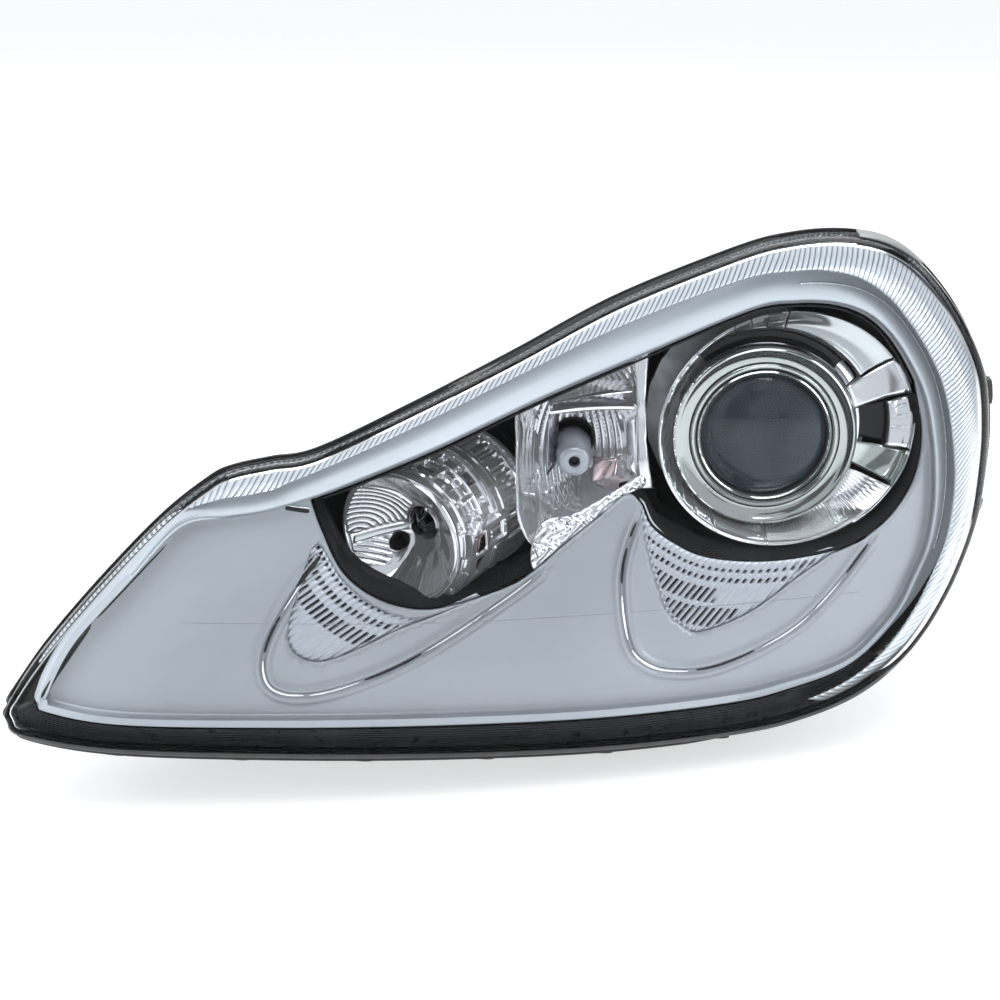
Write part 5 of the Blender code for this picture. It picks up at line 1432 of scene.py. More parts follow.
def turn_signal():
    outline = even(catmull(TURN_EDGE, 400, True), 200, True)
    circle = np.linspace(0, math.tau, 60, endpoint=False)
    hole = np.stack([TURN[0] + 13.2 * np.cos(circle), TURN[2] + 4 + 13.2 * np.sin(circle)], axis=1)

    def height(flat):
        gap, _ = distance(flat, outline)
        front = face_depth(flat[:, 0], flat[:, 1]) + 24.0
        deep = 138.0 - 0.014 * ((flat[:, 0] - 50) ** 2 + (flat[:, 1] - 20) ** 2) * 0.6
        t = smooth_step(gap / 13.0) ** 0.8
        y = front + (deep - front) * t
        flute = np.abs(np.sin((flat[:, 0] + 0.02 * (flat[:, 1] - 10) ** 2 * np.sign(flat[:, 0] - TURN[0]) * 0.3) / 4.1 * math.pi)) ** 0.8
        y -= 1.9 * flute * smooth_step((gap - 4) / 5)
        return y

    patch("turn_cavity", outline, height, M_MIRROR, 0.9, holes=[hole], solid=1.0, sharp=50, node="turn_reflector", slot="chrome")
    # socket seen past the cap
    c = (TURN[0], 0.0, TURN[2] + 4)
    clean(turned([(13.6, -137.0), (13.6, -134.6), (12.6, -134.0), (11.6, -135.0), (11.2, -146.0), (0.0, -146.4), (0.0, -149.0), (13.6, -149.0)], c, FWD, 64)
          .make("turn_socket_well", M_BLACK_FINE, slot="black_plastic"))
    # bulb cap with its front disc and hole
    cap = [(3.4, -101.5), (3.5, -97.6), (4.4, -97.0), (7.8, -97.2), (8.9, -98.0), (9.4, -99.6), (9.5, -101.0), (9.9, -101.8), (10.6, -112.0), (11.2, -128.0),
           (11.4, -136.0), (10.4, -140.0), (7.0, -143.0), (3.4, -143.5)]
    clean(turned(cap, (TURN[0], 0, TURN[2]), FWD, 96).make("turn_bulb_cap", M_SATIN, node="turn_bulb_shield", slot="satin_silver", sharp=35))
    clean(turned([(0, -104.0), (3.3, -104.0), (3.3, -106), (0, -106)], (TURN[0], 0, TURN[2]), FWD, 40).make("turn_cap_hole", M_BLACK_FINE, slot="black_plastic"))

    # top shelf with its bright front edge, seen edge-on across the cavity
    def block(name, xs, zs, y0, y1, finish, bow=0.0):
        rows = []
        for x in np.linspace(xs[0], xs[1], 24):
            t = (x - xs[0]) / (xs[1] - xs[0])
            lift = bow * math.sin(t * math.pi)
            za, zb = zs[0] + (zs[2] - zs[0]) * t + lift, zs[1] + (zs[3] - zs[1]) * t + lift
            rows.append([(x, y0, za), (x, y0 - 0.8, za + 0.8), (x, y0 - 0.8, zb - 0.6), (x, y0, zb), (x, y1, zb + 5), (x, y1, za + 5)])
        return Build().grid([np.array(r) for r in rows], True, False, True).make(name, finish, slot="chrome", sharp=30)

    block("turn_shelf_edge", (30, 80), (42.5, 45.2, 45.5, 48.4), 104.0, 138.0, M_CHROME, 1.2)
    block("turn_shelf_lip", (31, 79), (50.0, 51.4, 57.0, 58.4), 103.0, 136.0, M_MIRROR_SOFT, 0.6)
    # angled facets either side of the cap
    def facet(name, corners, finish, thick=1.0):
        c = np.array(corners, float)
        n = 10
        rows = []
        for i in range(n + 1):
            t = i / n
            left, right = c[0] + (c[3] - c[0]) * t, c[1] + (c[2] - c[1]) * t
            rows.append(np.array([left + (right - left) * j / n + np.array([0, -0.9 * math.sin(j / n * math.pi), 0]) for j in range(n + 1)]))
        Build().grid(rows, closed=False).make(name, finish, slot="chrome", solid=thick)

    # this facet's warm tint is a painted reflection
    facet("turn_facet_painted_warm_reflection", [(56, 118, -4), (70, 116, -2), (71, 112, 12), (57, 120, 12)], M_WARM_REFLECTION)
    facet("turn_side_facet_left", [(29, 112, 40), (35, 116, 44), (34, 120, 8), (28, 114, 2)], M_SHADE)
    facet("turn_side_facet_right", [(76, 104, 40), (82, 98, 44), (82, 100, 6), (76, 108, 6)], M_MIRROR_SOFT)

    # polished strip between the cavity and the projector's black gap
    def strip(flat):
        u = (flat[:, 0] - 84) / 8
        return face_depth(flat[:, 0], flat[:, 1]) + 21.5 + 1.8 * u**2 + 0.5 * np.cos(flat[:, 1] / 6.0)

    patch("turn_side_strip", [(78.5, 84), (88.5, 90), (87.5, 70), (86.6, 50), (87.2, 30), (89.5, 12), (91.5, 0), (84, 1), (82.6, 20), (81.8, 45), (80.5, 66)], strip, M_MIRROR_SOFT, 1.3, solid=1.4, slot="chrome")

    # hammered strip under the cavity
    lower = [(20, -43), (28, -37), (36, -30.5), (50, -20.5), (62, -12), (76, -2.5), (87, 3), (84, 9), (70, 2), (56, -5), (42, -11), (30, -12), (22, -18), (18, -32)]
    outline2 = even(catmull(lower, 300, True), 150, True)

    def hammered(flat):
        gap, _ = distance(flat, outline2)
        x, z = flat[:, 0], flat[:, 1]
        wave = np.sin(x * 0.85 + 1.6 * np.sin(z * 0.45)) * np.cos(z * 0.75 + 1.3 * np.sin(x * 0.36)) + 0.4 * np.sin((x + z) * 0.7 + np.sin(x * 0.6) * 2)
        return face_depth(x, z) + 21.8 - 2.4 * np.sqrt(np.clip(gap / 6.0, 0, 1)) - 0.7 * wave * smooth_step(gap / 2.5)

    patch("turn_hammered_strip", outline2, hammered, M_MIRROR, 0.7, solid=1.2, slot="chrome", sharp=60)


turn_signal()


# ------------------------------------------------------------------ housing and back
def housing():
    build = Build()
    rh = RIM_HEIGHT

    def back(flat, add):
        return ring3(flat, back_depth(flat[:, 0]) + add)

    def smooth_ring(flat, rounds=4):
        for _ in range(rounds):
            flat = (np.roll(flat, 1, 0) + flat * 2 + np.roll(flat, -1, 0)) / 4
        return flat

    front_y = face_depth(RIM[:, 0], RIM[:, 1])
    over_top = smooth_step((OUT[:, 1] + 0.05) / 0.45) * smooth_step((RIM[:, 0] + 300) / 24)
    wide = LIP * (1 - 0.88 * over_top)
    lead = 7.0 * over_top
    long = 18.2 - 8.0 * over_top
    lip = inset(-0.8 - wide)

    def tucked(flat, y):
        """Lowers the upper side below a line that falls back from the top of the lip."""
        top = RIM[:, 1] + (front_y + rh + 11.5 - y) * 0.325
        z = np.where(flat[:, 1] > SPINE[:, 1], np.maximum(np.minimum(flat[:, 1], top), SPINE[:, 1] + 3.0), flat[:, 1])
        return np.stack([flat[:, 0], y, z], axis=1)

    rows = [
        behind(inset(3.2), rh + 12.6), behind(inset(0.4), rh + 10.4), behind(inset(-0.7), rh + 8.0 + 0.15 * lead), behind(inset(-0.7), rh + 1.4 + 0.9 * lead), behind(inset(-1.2), rh + 0.5 + lead),
        behind(inset(-wide), rh + 0.7 + lead), behind(lip, rh + 1.5 + lead), behind(lip, rh + long), behind(inset(-wide), rh + long + 0.8), behind(inset(0.2), rh + long + 1.8),
    ]
    edge_now = behind(inset(1.6), rh + 22.5)
    rows.append(tucked(edge_now[:, [0, 2]], edge_now[:, 1]))
    deep = rows[-1][:, 1]
    flat2, flat12, flat20, flat34 = inset(2), smooth_ring(inset(12)), smooth_ring(inset(20), 8), smooth_ring(inset(34), 12)
    target = back_depth(flat20[:, 0]) - 12
    for t in (0.25, 0.5, 0.72, 0.88):
        flat = flat2 + (flat12 - flat2) * t
        rows.append(tucked(flat, deep + (target - deep) * (t * 0.9)))
    for flat, add in ((flat20, -12.0), (flat20 + (flat34 - flat20) * 0.25, -5.0), (flat20 + (flat34 - flat20) * 0.6, -1.2)):
        rows.append(tucked(flat, back_depth(flat[:, 0]) + add))
    last_ring = tucked(flat34, back_depth(flat34[:, 0]))
    rows.append(last_ring)
    flat34 = last_ring[:, [0, 2]]
    build.grid(rows)
    circle = np.linspace(0, math.tau, 96, endpoint=False)

    def disc(cx, cz, r, n=96):
        a = np.linspace(0, math.tau, n, endpoint=False)
        return np.stack([cx + r * np.cos(a), cz + r * np.sin(a)], axis=1)

    holes = [disc(PROJ[0], PROJ[2], 54.4), disc(HIGH[0], HIGH[2], 37.4), disc(TURN[0], TURN[2], 15.2, 48), disc(KNOB_V[0], KNOB_V[2], 17.2, 48),
             disc(KNOB_H[0], KNOB_H[2], 6.8, 32), np.array([(-132.8, -99.4), (-91.2, -99.4), (-91.2, -74.6), (-132.8, -74.6)])]
    edge = flat34
    keep_holes = [h for h in holes if inside(h, edge).all()]
    flat, faces = fill(edge, 5.0, holes=keep_holes)
    build.add(np.stack([flat[:, 0], back_depth(flat[:, 0]), flat[:, 1]], axis=1), faces)
    for cx, cz, r, y0, y1, w in ((PROJ[0], PROJ[2], 54.4, 304, 329, 7.6), (HIGH[0], HIGH[2], 37.4, 204, 224, 6.6)):
        prof = rounded([(r, -y0), (r, -y1), (r + w, -y1), (r + w, -(y1 - 22))], 1.0, 3)
        turned(prof, (cx, 0, cz), FWD, 128, build=build)
    obj = build.make("lamp_housing", M_BLACK, node="housing", slot="black_plastic", recalc=True, sharp=40)
    print("housing holes kept", len(keep_holes), "of", len(holes))
    return obj


housing()


def ribs_and_clips():
    """Stiffening ribs over the housing's back and the clips that hold the lens down."""
    build = Build()

    def slab(a, b, y0, y1, thick, lean=0.0):
        a, b = np.array(a, float), np.array(b, float)
        way = (b - a) / np.linalg.norm(b - a)
        side = np.array([-way[1], way[0]]) * thick / 2
        rings = []
        for t in np.linspace(0, 1, 10):
            p = a + (b - a) * t
            base, top = back_depth(p[0]) + y0, back_depth(p[0]) + y1 * (1 - 0.5 * (2 * t - 1) ** 6)
            rings.append(np.array([(p[0] - side[0], base, p[1] - side[1]), (p[0] - side[0] * 0.8, top, p[1] - side[1] * 0.8),
                                   (p[0] + side[0] * 0.8, top, p[1] + side[1] * 0.8), (p[0] + side[0], base, p[1] + side[1])]))
        build.grid(rings, True, False, True)

    for k in range(5):
        slab((-52 + k * 15, -112), (-46 + k * 15, -74 + 3 * k), -1.0, 3.4, 1.8)
    for k in range(3):
        slab((-136 + k * 17, -60), (-134 + k * 17, -44), -1.0, 3.4, 1.8)
    for k in range(4):
        slab((20 + k * 9, 40 + k * 2), (22 + k * 9, 52 + k * 4), -1.0, 3.0, 1.6)
    for a in range(0, 360, 24):
        c, s = math.cos(math.radians(a)), math.sin(math.radians(a))
        p, q = (PROJ[0] + 62.5 * c, PROJ[2] + 62.5 * s), (PROJ[0] + 69 * c, PROJ[2] + 69 * s)
        if p[0] > 112 and q[0] < 236 and -50 < q[1] < 78:
            slab(p, q, -1, 6.5, 1.8)
    build.make("housing_ribs", M_BLACK, slot="black_plastic", sharp=30)

    clips = Build()
    for k in range(0, N, 26):
        if RIM[k, 0] < -262 or OUT[k, 1] > 0.1:
            continue
        rows = []
        out = OUT[k]
        along = np.array([-out[1], out[0]])
        y = float(face_depth(*RIM[k])) + RIM_HEIGHT[k]
        base = RIM[k] + out * (0.7 + LIP[k])
        for u in np.linspace(-8, 8, 9):
            taper = 1 - 0.35 * (u / 8) ** 4
            p = base + along * u
            rows.append(np.array([(p[0] - out[0] * 1.5, y + 4, p[1] - out[1] * 1.5), (p[0] + out[0] * 2.1 * taper, y + 5.5, p[1] + out[1] * 2.1 * taper),
                                  (p[0] + out[0] * 2.4 * taper, y + 13, p[1] + out[1] * 2.4 * taper), (p[0] - out[0] * 1.5, y + 17.5, p[1] - out[1] * 1.5)]))
        clips.grid(rows, True, False, True)
    clips.make("lens_clips", M_BLACK, slot="black_plastic", sharp=30)


ribs_and_clips()


# ------------------------------------------------------------------ trims inside the lens
def shares(share, extra, first, last):
    """Ring part between two keys, share of the way from the step to the rim, extra mm behind the face above the rim."""
    order = [i for i in range(N) if first <= KEY[i] <= last]
    flat = (STEP + (RIM - STEP) * share)[order]
    y = face_depth(RIM[:, 0], RIM[:, 1])[order] + extra
    return np.stack([flat[:, 0], y, flat[:, 1]], axis=1)


def gutter():
    """Dark ribbed trough between the bezel's lower lip and the lens."""
    rows = []
    base = (20.0 - 5 * BOTTOM).mean()
    shape = [(0.31, 22.0)]
    for k in range(6):
        u = 0.34 + k * 0.075
        shape += [(u, 24.5 + k * 0.7), (u + 0.02, 23.2 + k * 0.7), (u + 0.045, 23.2 + k * 0.7), (u + 0.06, 24.9 + k * 0.7)]
    shape += [(0.82, 29.0), (0.93, 30.0), (0.985, 31.0)]
    for u, extra in shape:
        rows.append(shares(u, extra - 7.5, 1990, 2770))
    Build().grid(rows, closed=False).make("lower_gutter", M_GUTTER, slot="black_plastic", solid=1.0, sharp=25)


def gutter_finish():
    s = Shader("gutter_dark_grey")
    tone = s.ramp(s.noise(30, 3), [(0.3, (0.014, 0.015, 0.02)), (0.7, (0.028, 0.028, 0.036))])
    s.set(Base_Color=tone, Metallic=0.15, Roughness=s.span(s.noise(90, 3), 0.25, 0.38))
    return s.made


M_GUTTER = gutter_finish()
gutter()


def bead_line():
    """Row of small raised beads along the flange's outboard side."""
    rows = []
    order = [i for i in range(N) if 960 <= KEY[i] <= 1720]
    base = (STEP + (RIM - STEP) * 0.24)[order]
    inner_y = face_depth(base[:, 0], base[:, 1]) + 11.7
    outer_y = (face_depth(RIM[:, 0], RIM[:, 1]) + 20.0 - 5 * BOTTOM)[order]
    level = inner_y + (outer_y - inner_y) * smooth_step(0.24 / 0.5) - 0.2
    fine = even(base, 900)
    run = lengths(base)
    bead_y = np.interp(np.linspace(0, run[-1], 900), run, level)
    beads = 118
    wave = np.abs(np.sin(np.linspace(0, beads * math.pi, 900))) ** 0.6
    for gap, rise in ((-1.0, 0.0), (-0.75, 0.55), (0.0, 0.85), (0.75, 0.55), (1.0, 0.0)):
        flat = fine + (offset_path(fine, 1) - fine) * (gap * (0.55 + 0.45 * wave))[:, None]
        y = bead_y - rise * wave
        rows.append(np.stack([flat[:, 0], y, flat[:, 1]], axis=1))
    Build().grid(rows, closed=False).make("flange_bead_line", M_PEARL, slot="satin_silver", solid=1.2, sharp=50)


bead_line()


def bezel_depth(q):
    """Depth of the bezel's front at an (x, z) point: the panel, or the flange outside the step."""
    k = int(np.argmin(np.hypot(STEP[:, 0] - q[0], STEP[:, 1] - q[1])))
    beyond = float(np.dot(q - STEP[k], OUT[k]))
    base = float(face_depth(q[0], q[1]))
    if beyond < -3.0:
        return base + 19.0
    if beyond < 0.5:
        return base + float(np.interp(beyond, [-3.0, -2.3, -1.5, -0.9, -0.45, -0.15, 0.3], [19.0, 18.8, 17.9, 16.0, 13.9, 12.5, 11.9]))
    return base + 11.7


def slot_bar(build, start, end, half, offset, rise=0.5):
    """Rounded bar on the bezel between two (x, z) points."""
    start, end = np.array(start, float), np.array(end, float)
    way = (end - start) / np.linalg.norm(end - start)
    side = np.array([-way[1], way[0]])
    rings = []
    for t in np.linspace(0.004, 0.996, 22):
        w = half * min(1.0, math.sqrt(max(0.05, 1 - (2 * t - 1) ** 12)))
        p = start + (end - start) * t
        ring = []
        for u, h in ((-1, -0.8), (-0.9, 0.3), (-0.5, 0.9), (0, 1.0), (0.5, 0.9), (0.9, 0.3), (1, -0.8)):
            q = p + side * w * u
            ring.append((q[0], bezel_depth(q) + offset - rise * h, q[1]))
        rings.append(np.array(ring))
    build.grid(rings, True, False, True)


marks = Build()
slot_bar(marks, (-266.5, -102.5), (-237.3, -60.8), 1.7, -0.15)
slot_bar(marks, (-233.6, -58.0), (-192.6, -15.4), 0.5, -0.1)
slot_bar(marks, (-124.5, 3.4), (-110.5, 0.8), 1.2, -0.1)
slot_bar(marks, (-118.5, -43.0), (-104.6, -25.4), 1.2, -0.1)
marks.make("bezel_slots", M_BLACK_FINE, slot="black_plastic", sharp=50)
edges = Build()
slot_bar(edges, (-126.0, 5.4), (-109.5, 2.9), 0.55, -0.1, 0.8)
slot_bar(edges, (-120.6, -42.0), (-106.4, -24.2), 0.45, -0.1, 0.7)
edges.make("bezel_slot_edges", M_CHROME, slot="chrome", sharp=50)


# ------------------------------------------------------------------ rear fittings
def rrect(w, h, r, steps=5):
    points = []
    for cx, cy, a0 in ((w / 2 - r, h / 2 - r, 0), (-w / 2 + r, h / 2 - r, 90), (-w / 2 + r, -h / 2 + r, 180), (w / 2 - r, -h / 2 + r, 270)):
        for k in range(steps + 1):
            a = math.radians(a0 + 90 * k / steps)
            points.append((cx + r * math.cos(a), cy + r * math.sin(a)))
    return np.array(points)


def loft(build, centre, plan, axis="y"):
    """Rounded rectangles stacked along an axis: plan of (position, width, height, corner radius)."""
    rings = []
    for pos, w, h, r in plan:
        p = rrect(w, h, r)
        if axis == "y":
            rings.append(np.stack([centre[0] + p[:, 0], np.full(len(p), pos), centre[2] + p[:, 1]], axis=1))
        elif axis == "x":
            rings.append(np.stack([np.full(len(p), pos), centre[1] + p[:, 0], centre[2] + p[:, 1]], axis=1))
        else:
            rings.append(np.stack([centre[0] + p[:, 0], centre[1] + p[:, 1], np.full(len(p), pos)], axis=1))
    build.grid(rings, True, False, True)
    return build


def bar(build, centre, size, r=0.6, axis="y"):
    """Box with rounded edges."""
    i = "xyz".index(axis)
    w, h = [size[k] for k in range(3) if k != i]
    a, b = centre[i] - size[i] / 2, centre[i] + size[i] / 2
    r = min(r, w / 2.1, h / 2.1, size[i] / 2.1)
    plan = [(a, w - 1.4 * r, h - 1.4 * r, r * 0.6), (a + 0.3 * r, w - 0.5 * r, h - 0.5 * r, r * 0.85), (a + r, w, h, r), (b - r, w, h, r),
            (b - 0.3 * r, w - 0.5 * r, h - 0.5 * r, r * 0.85), (b, w - 1.4 * r, h - 1.4 * r, r * 0.6)]
    return loft(build, centre, plan, axis)


def cap(name, node, body, r, x, z, y):
    c = (x, 0.0, z)

    def knurl(a, prof, radius):
        return np.where(prof[:, 0] > r + 5.5, radius - 0.9 * (math.cos(a * 44) > 0.2), radius)

    prof = rounded([(r + 7, -(y + 3.4)), (r + 7, -(y + 11)), (r + 5, -(y + 12)), (r - 10, -(y + 12)), (r - 14, -(y + 5)), (0, -(y + 5)), (0, -(y + 2.4)),
                    (r - 12.5, -(y + 2.4)), (r - 8, -(y + 9)), (r - 4, -(y + 9)), (r - 4, -(y - 7)), (r - 1.2, -(y - 7)), (r - 1.2, -(y + 3.4))], 0.8, 2)
    clean(turned(prof, c, FWD, 264, ripple=knurl).make(name, M_BLACK, body=body, node=node, slot="black_plastic", sharp=30))
    extra = Build()
    bar(extra, (x, y + 9.8, z), (2 * r - 34, 10.2, 7), 1.6)
    for a in range(0, 180, 30):
        if a in (0,):
            continue
        for s in (1, -1):
            ca, sa = math.cos(math.radians(a)) * s, math.sin(math.radians(a)) * s
            p = [np.array((x + ca * q, y + 5.6, z + sa * q)) for q in np.linspace(6, r - 14, 5)]
            tube(p, 1.1, 8, build=extra)
    turned(rounded([(0, -(y + 4.8)), (7.5, -(y + 4.8)), (7.5, -(y + 7.0)), (0, -(y + 7.2))], 0.6), c, FWD, 48, build=extra)
    clean(extra.make(name + "_grip", M_BLACK, body=body, slot="black_plastic", sharp=30))


cap("low_cap_body", "low_beam_cap", "low_cap", 54, PROJ[0], PROJ[2], BACK_OUTER + 9)
cap("high_cap_body", "high_beam_cap", "high_cap", 37, HIGH[0], HIGH[2], BACK_INNER + 9)


def seal_ring(name, node, body, r, x, z, y):
    clean(turned(rounded([(r + 5, -(y + 0.4)), (r + 5, -(y + 3)), (r + 0.6, -(y + 3)), (r + 0.6, -(y + 0.4))], 1.0, 4), (x, 0, z), FWD, 128)
          .make(name, M_RUBBER, body=body, node=node, slot="rubber"))


seal_ring("low_cap_gasket", "low_beam_cap_seal", "low_cap_seal", 54, PROJ[0], PROJ[2], BACK_OUTER + 9)
seal_ring("high_cap_gasket", "high_beam_cap_seal", "high_cap_seal", 37, HIGH[0], HIGH[2], BACK_INNER + 9)


def rear_boxes():
    y = BACK_OUTER + 0.6
    c = (174, 0, -88)
    case = Build()
    loft(case, c, [(y, 118, 56, 3), (y + 0.4, 123, 61, 4), (y + 1.5, 124, 62, 4), (y + 4.0, 124, 62, 4), (y + 4.6, 118, 56, 5), (y + 24.5, 116, 54, 6), (y + 26.2, 113, 51, 6), (y + 26.8, 108, 46, 5)])
    for k in range(11):
        bar(case, (c[0] - 45 + k * 9, y + 28.1, c[2]), (2.2, 3.4, 42), 0.7)
    for sx, sz in ((-56, -24), (56, 24)):
        turned(rounded([(0, -y), (6.4, -y), (6.4, -(y + 30.0)), (4.7, -(y + 30.0)), (4.7, -(y + 28)), (0, -(y + 28))], 0.6), (c[0] + sx, 0, c[2] + sz), FWD, 40, build=case)
    clean(case.make("ballast_case", M_CAST, node="ballast", slot="zinc", sharp=30))
    plug = Build()
    bar(plug, (c[0] - 30, y + 14, c[2] + 33.0), (34, 15, 9), 1.6)
    bar(plug, (c[0] + 24, y + 14, c[2] + 32.6), (22, 13, 8), 1.6)
    for k in range(6):
        bar(plug, (c[0] - 44 + k * 5.6, y + 14, c[2] + 37.6), (1.4, 12, 1.0), 0.3)
    clean(plug.make("ballast_plugs", M_BLACK, slot="black_plastic", sharp=30))
    for n, (x, z) in enumerate(((118, -112), (230, -64)), 1):
        yy = BACK_OUTER + 30.9
        prof = rounded([(0, -yy), (4.6, -yy), (4.6, -(yy + 1.4)), (3.6, -(yy + 3.4)), (2.1, -(yy + 3.5)), (2.0, -(yy + 1.6)), (0, -(yy + 1.5))], 0.4, 2)

        def hexed(a, p, radius):
            k = math.cos(math.pi / 6) / math.cos((a % (math.pi / 3)) - math.pi / 6)
            return np.where(p[:, 0] < 2.3, radius * k, radius)

        clean(turned(prof, (x, 0, z), FWD, 72, ripple=hexed).make(f"ballast_bolt_{n}", M_STEEL, node=f"ballast_screw_{n}", slot="steel", sharp=30))

    # harness connector with its contacts
    cx, cz, y = -112, -88, BACK_INNER
    shell = Build()
    rings = []
    for pos, w, h, r in ((y + 0.5, 53, 37, 2.5), (y + 1.0, 54, 38, 3), (y + 17.0, 54, 38, 3), (y + 17.6, 53.2, 37.2, 2.8), (y + 17.6, 44.8, 27.8, 2.2), (y + 17.0, 44, 27, 2), (y + 5.0, 43.6, 26.6, 2)):
        p = rrect(w, h, r)
        rings.append(np.stack([cx + p[:, 0], np.full(len(p), pos), cz + p[:, 1]], axis=1))
    shell.grid(rings, True, False, True)
    for k in (-1, 1):
        bar(shell, (cx + k * 15, y + 11, cz + 19.2), (4, 11, 1.6), 0.5)
    bar(shell, (cx, y + 10.5, cz - 19.3), (12, 12, 1.8), 0.5)
    bar(shell, (cx, y + 9.0, cz), (38, 8, 1.6), 0.5)
    clean(shell.make("connector_shell", M_BLACK, node="main_connector", slot="black_plastic", sharp=30))
    pins = Build()
    for row in (-1, 1):
        for k in range(7):
            bar(pins, (cx - 17.4 + k * 5.8, y + 9.4, cz + row * 6.4), (1.6, 10, 1.0), 0.3)
    clean(pins.make("connector_contacts", M_STEEL, slot="steel", sharp=30))


rear_boxes()


def rear_small():
    for name, node, body, c, r, y0, y1, teeth in (("vertical_crown", "vertical_aim_knob", "vertical_knob", KNOB_V, 6.9, 235.1, 246.0, 14), ("horizontal_crown", "horizontal_aim_knob", "horizontal_knob", KNOB_H, 8.0, 324.6, 335.0, 16)):
        def gear(a, p, radius, r=r, teeth=teeth):
            return np.where(p[:, 0] > r - 1.5, radius - 0.9 * (0.5 + 0.5 * np.cos(a * teeth)), radius)

        prof = rounded([(0, -y0), (r, -y0), (r, -(y1 - 1.2)), (r - 1.6, -y1), (3.0, -y1), (2.6, -(y1 - 2.6)), (0, -(y1 - 2.6))], 0.5, 2)
        clean(turned(prof, (c[0], 0, c[2]), FWD, 168, ripple=gear).make(name, M_NYLON, body=body, node=node, slot="nylon", sharp=30))
    # latch: lever with a finger pad, hub and steel pin
    box_low, box_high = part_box("latch_lever")
    lo, hi = design(box_low), design(box_high)
    x, top, yb = (lo[0] + hi[0]) / 2, hi[2], BACK_INNER + 10
    lever = Build()
    rings = []
    for t in np.linspace(0, 1, 30):
        z = top - 14 - (top - 14 - lo[2]) * t
        w = 15.0 - 3.6 * math.sin(t * math.pi) + 1.6 * smooth_step((t - 0.8) / 0.2)
        th = 7.4 - 1.2 * math.sin(t * math.pi)
        end = min(1.0, math.sqrt(max(0.02, 1 - max(0.0, (t - 0.93) / 0.07) ** 2)))
        p = rrect(w * end, th * end, min(w, th) * end * 0.32)
        rings.append(np.stack([x + p[:, 0], yb + p[:, 1], np.full(len(p), z)], axis=1))
    lever.grid(rings, True, False, True)
    for k in range(5):
        bar(lever, (x, yb + 3.9, lo[2] + 6 + k * 3.4), (10, 1.2, 1.5), 0.5)
    hub_z = top - 11
    turned(rounded([(3.5, -(BACK_INNER + 3.6)), (11, -(BACK_INNER + 3.6)), (11, -(BACK_INNER + 15.4)), (9.6, -(BACK_INNER + 16.5)), (3.5, -(BACK_INNER + 16.5))], 0.8), (x, 0, hub_z), FWD, 72, build=lever)
    clean(lever.make("latch_handle", M_BLACK, body="latch", node="latch_lever", slot="black_plastic", sharp=30))

    def hexhead(a, p, radius):
        k = math.cos(math.pi / 6) / math.cos((a % (math.pi / 3)) - math.pi / 6)
        return np.where((p[:, 0] > 5) & (p[:, 1] < -(BACK_INNER + 17.4)), radius * k * 1.06, radius)

    b = BACK_INNER
    prof = rounded([(6, -(b + 17.2)), (6, -(b + 17.8)), (5.9, -(b + 18.0)), (5.8, -(b + 20)), (0, -(b + 20)), (0, -(b - 1.4)), (3, -(b - 1.4)), (3, -(b + 17.2))], 0.2, 2)
    clean(turned(prof, (x, 0, hub_z), FWD, 72, ripple=hexhead).make("latch_bolt", M_STEEL, node="latch_pin", slot="steel", sharp=30))
    # vents
    for n in (1, 2):
        c = middle(f"vent_cap_{n}")

        def slots(a, p, radius):
            return np.where((p[:, 0] > 7.2) & (p[:, 1] > -(b + 5.4)), radius - 1.1 * (math.cos(a * 10) > 0.55), radius)

        prof = rounded([(0, -(b + 0.4)), (8.9, -(b + 0.4)), (8.9, -(b + 5.2)), (8.2, -(b + 6.0)), (8.2, -(b + 7.6)), (6.6, -(b + 9.0)), (0, -(b + 9.0))], 0.7, 2)
        clean(turned(prof, (c[0], 0, c[2]), FWD, 120, ripple=slots).make(f"vent_body_{n}", M_RUBBER, node=f"vent_cap_{n}", slot="rubber", sharp=30))
    # gussets under the two bolt lugs
    gussets = Build()
    for n, wall in ((1, BACK_INNER), (2, BACK_OUTER)):
        lo, hi = (design(v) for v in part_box(f"mounting_lug_{n}"))
        shelf = hi[2] - 9
        for side in (lo[0] + 3.2, hi[0] - 3.2):
            rings = []
            for t in np.linspace(0, 1, 8):
                yy = wall + 5.0 + (hi[1] - 6 - wall - 5.0) * t
                zz = shelf - 15.0 * (1 - t) ** 1.4 - 0.6
                rings.append(np.array([(side - 1, yy, shelf + 0.2), (side + 1, yy, shelf + 0.2), (side + 1, yy, zz), (side - 1, yy, zz)]))
            gussets.grid(rings, True, False, True)
    gussets.make("lug_gussets", M_BLACK, slot="black_plastic", sharp=30)
    for n in (1, 2):
        c = middle(f"mounting_bushing_{n}")
        prof = [(r, h + c[2]) for r, h in rounded([(6.0, 4.6), (6.0, -4.6), (3.6, -4.6), (3.6, 4.6)], 0.5, 3)]
        clean(turned(prof, (c[0], c[1], 0), (0, 0, 1), 64).make(f"lug_sleeve_{n}", M_STEEL, node=f"mounting_bushing_{n}", slot="steel", sharp=30))
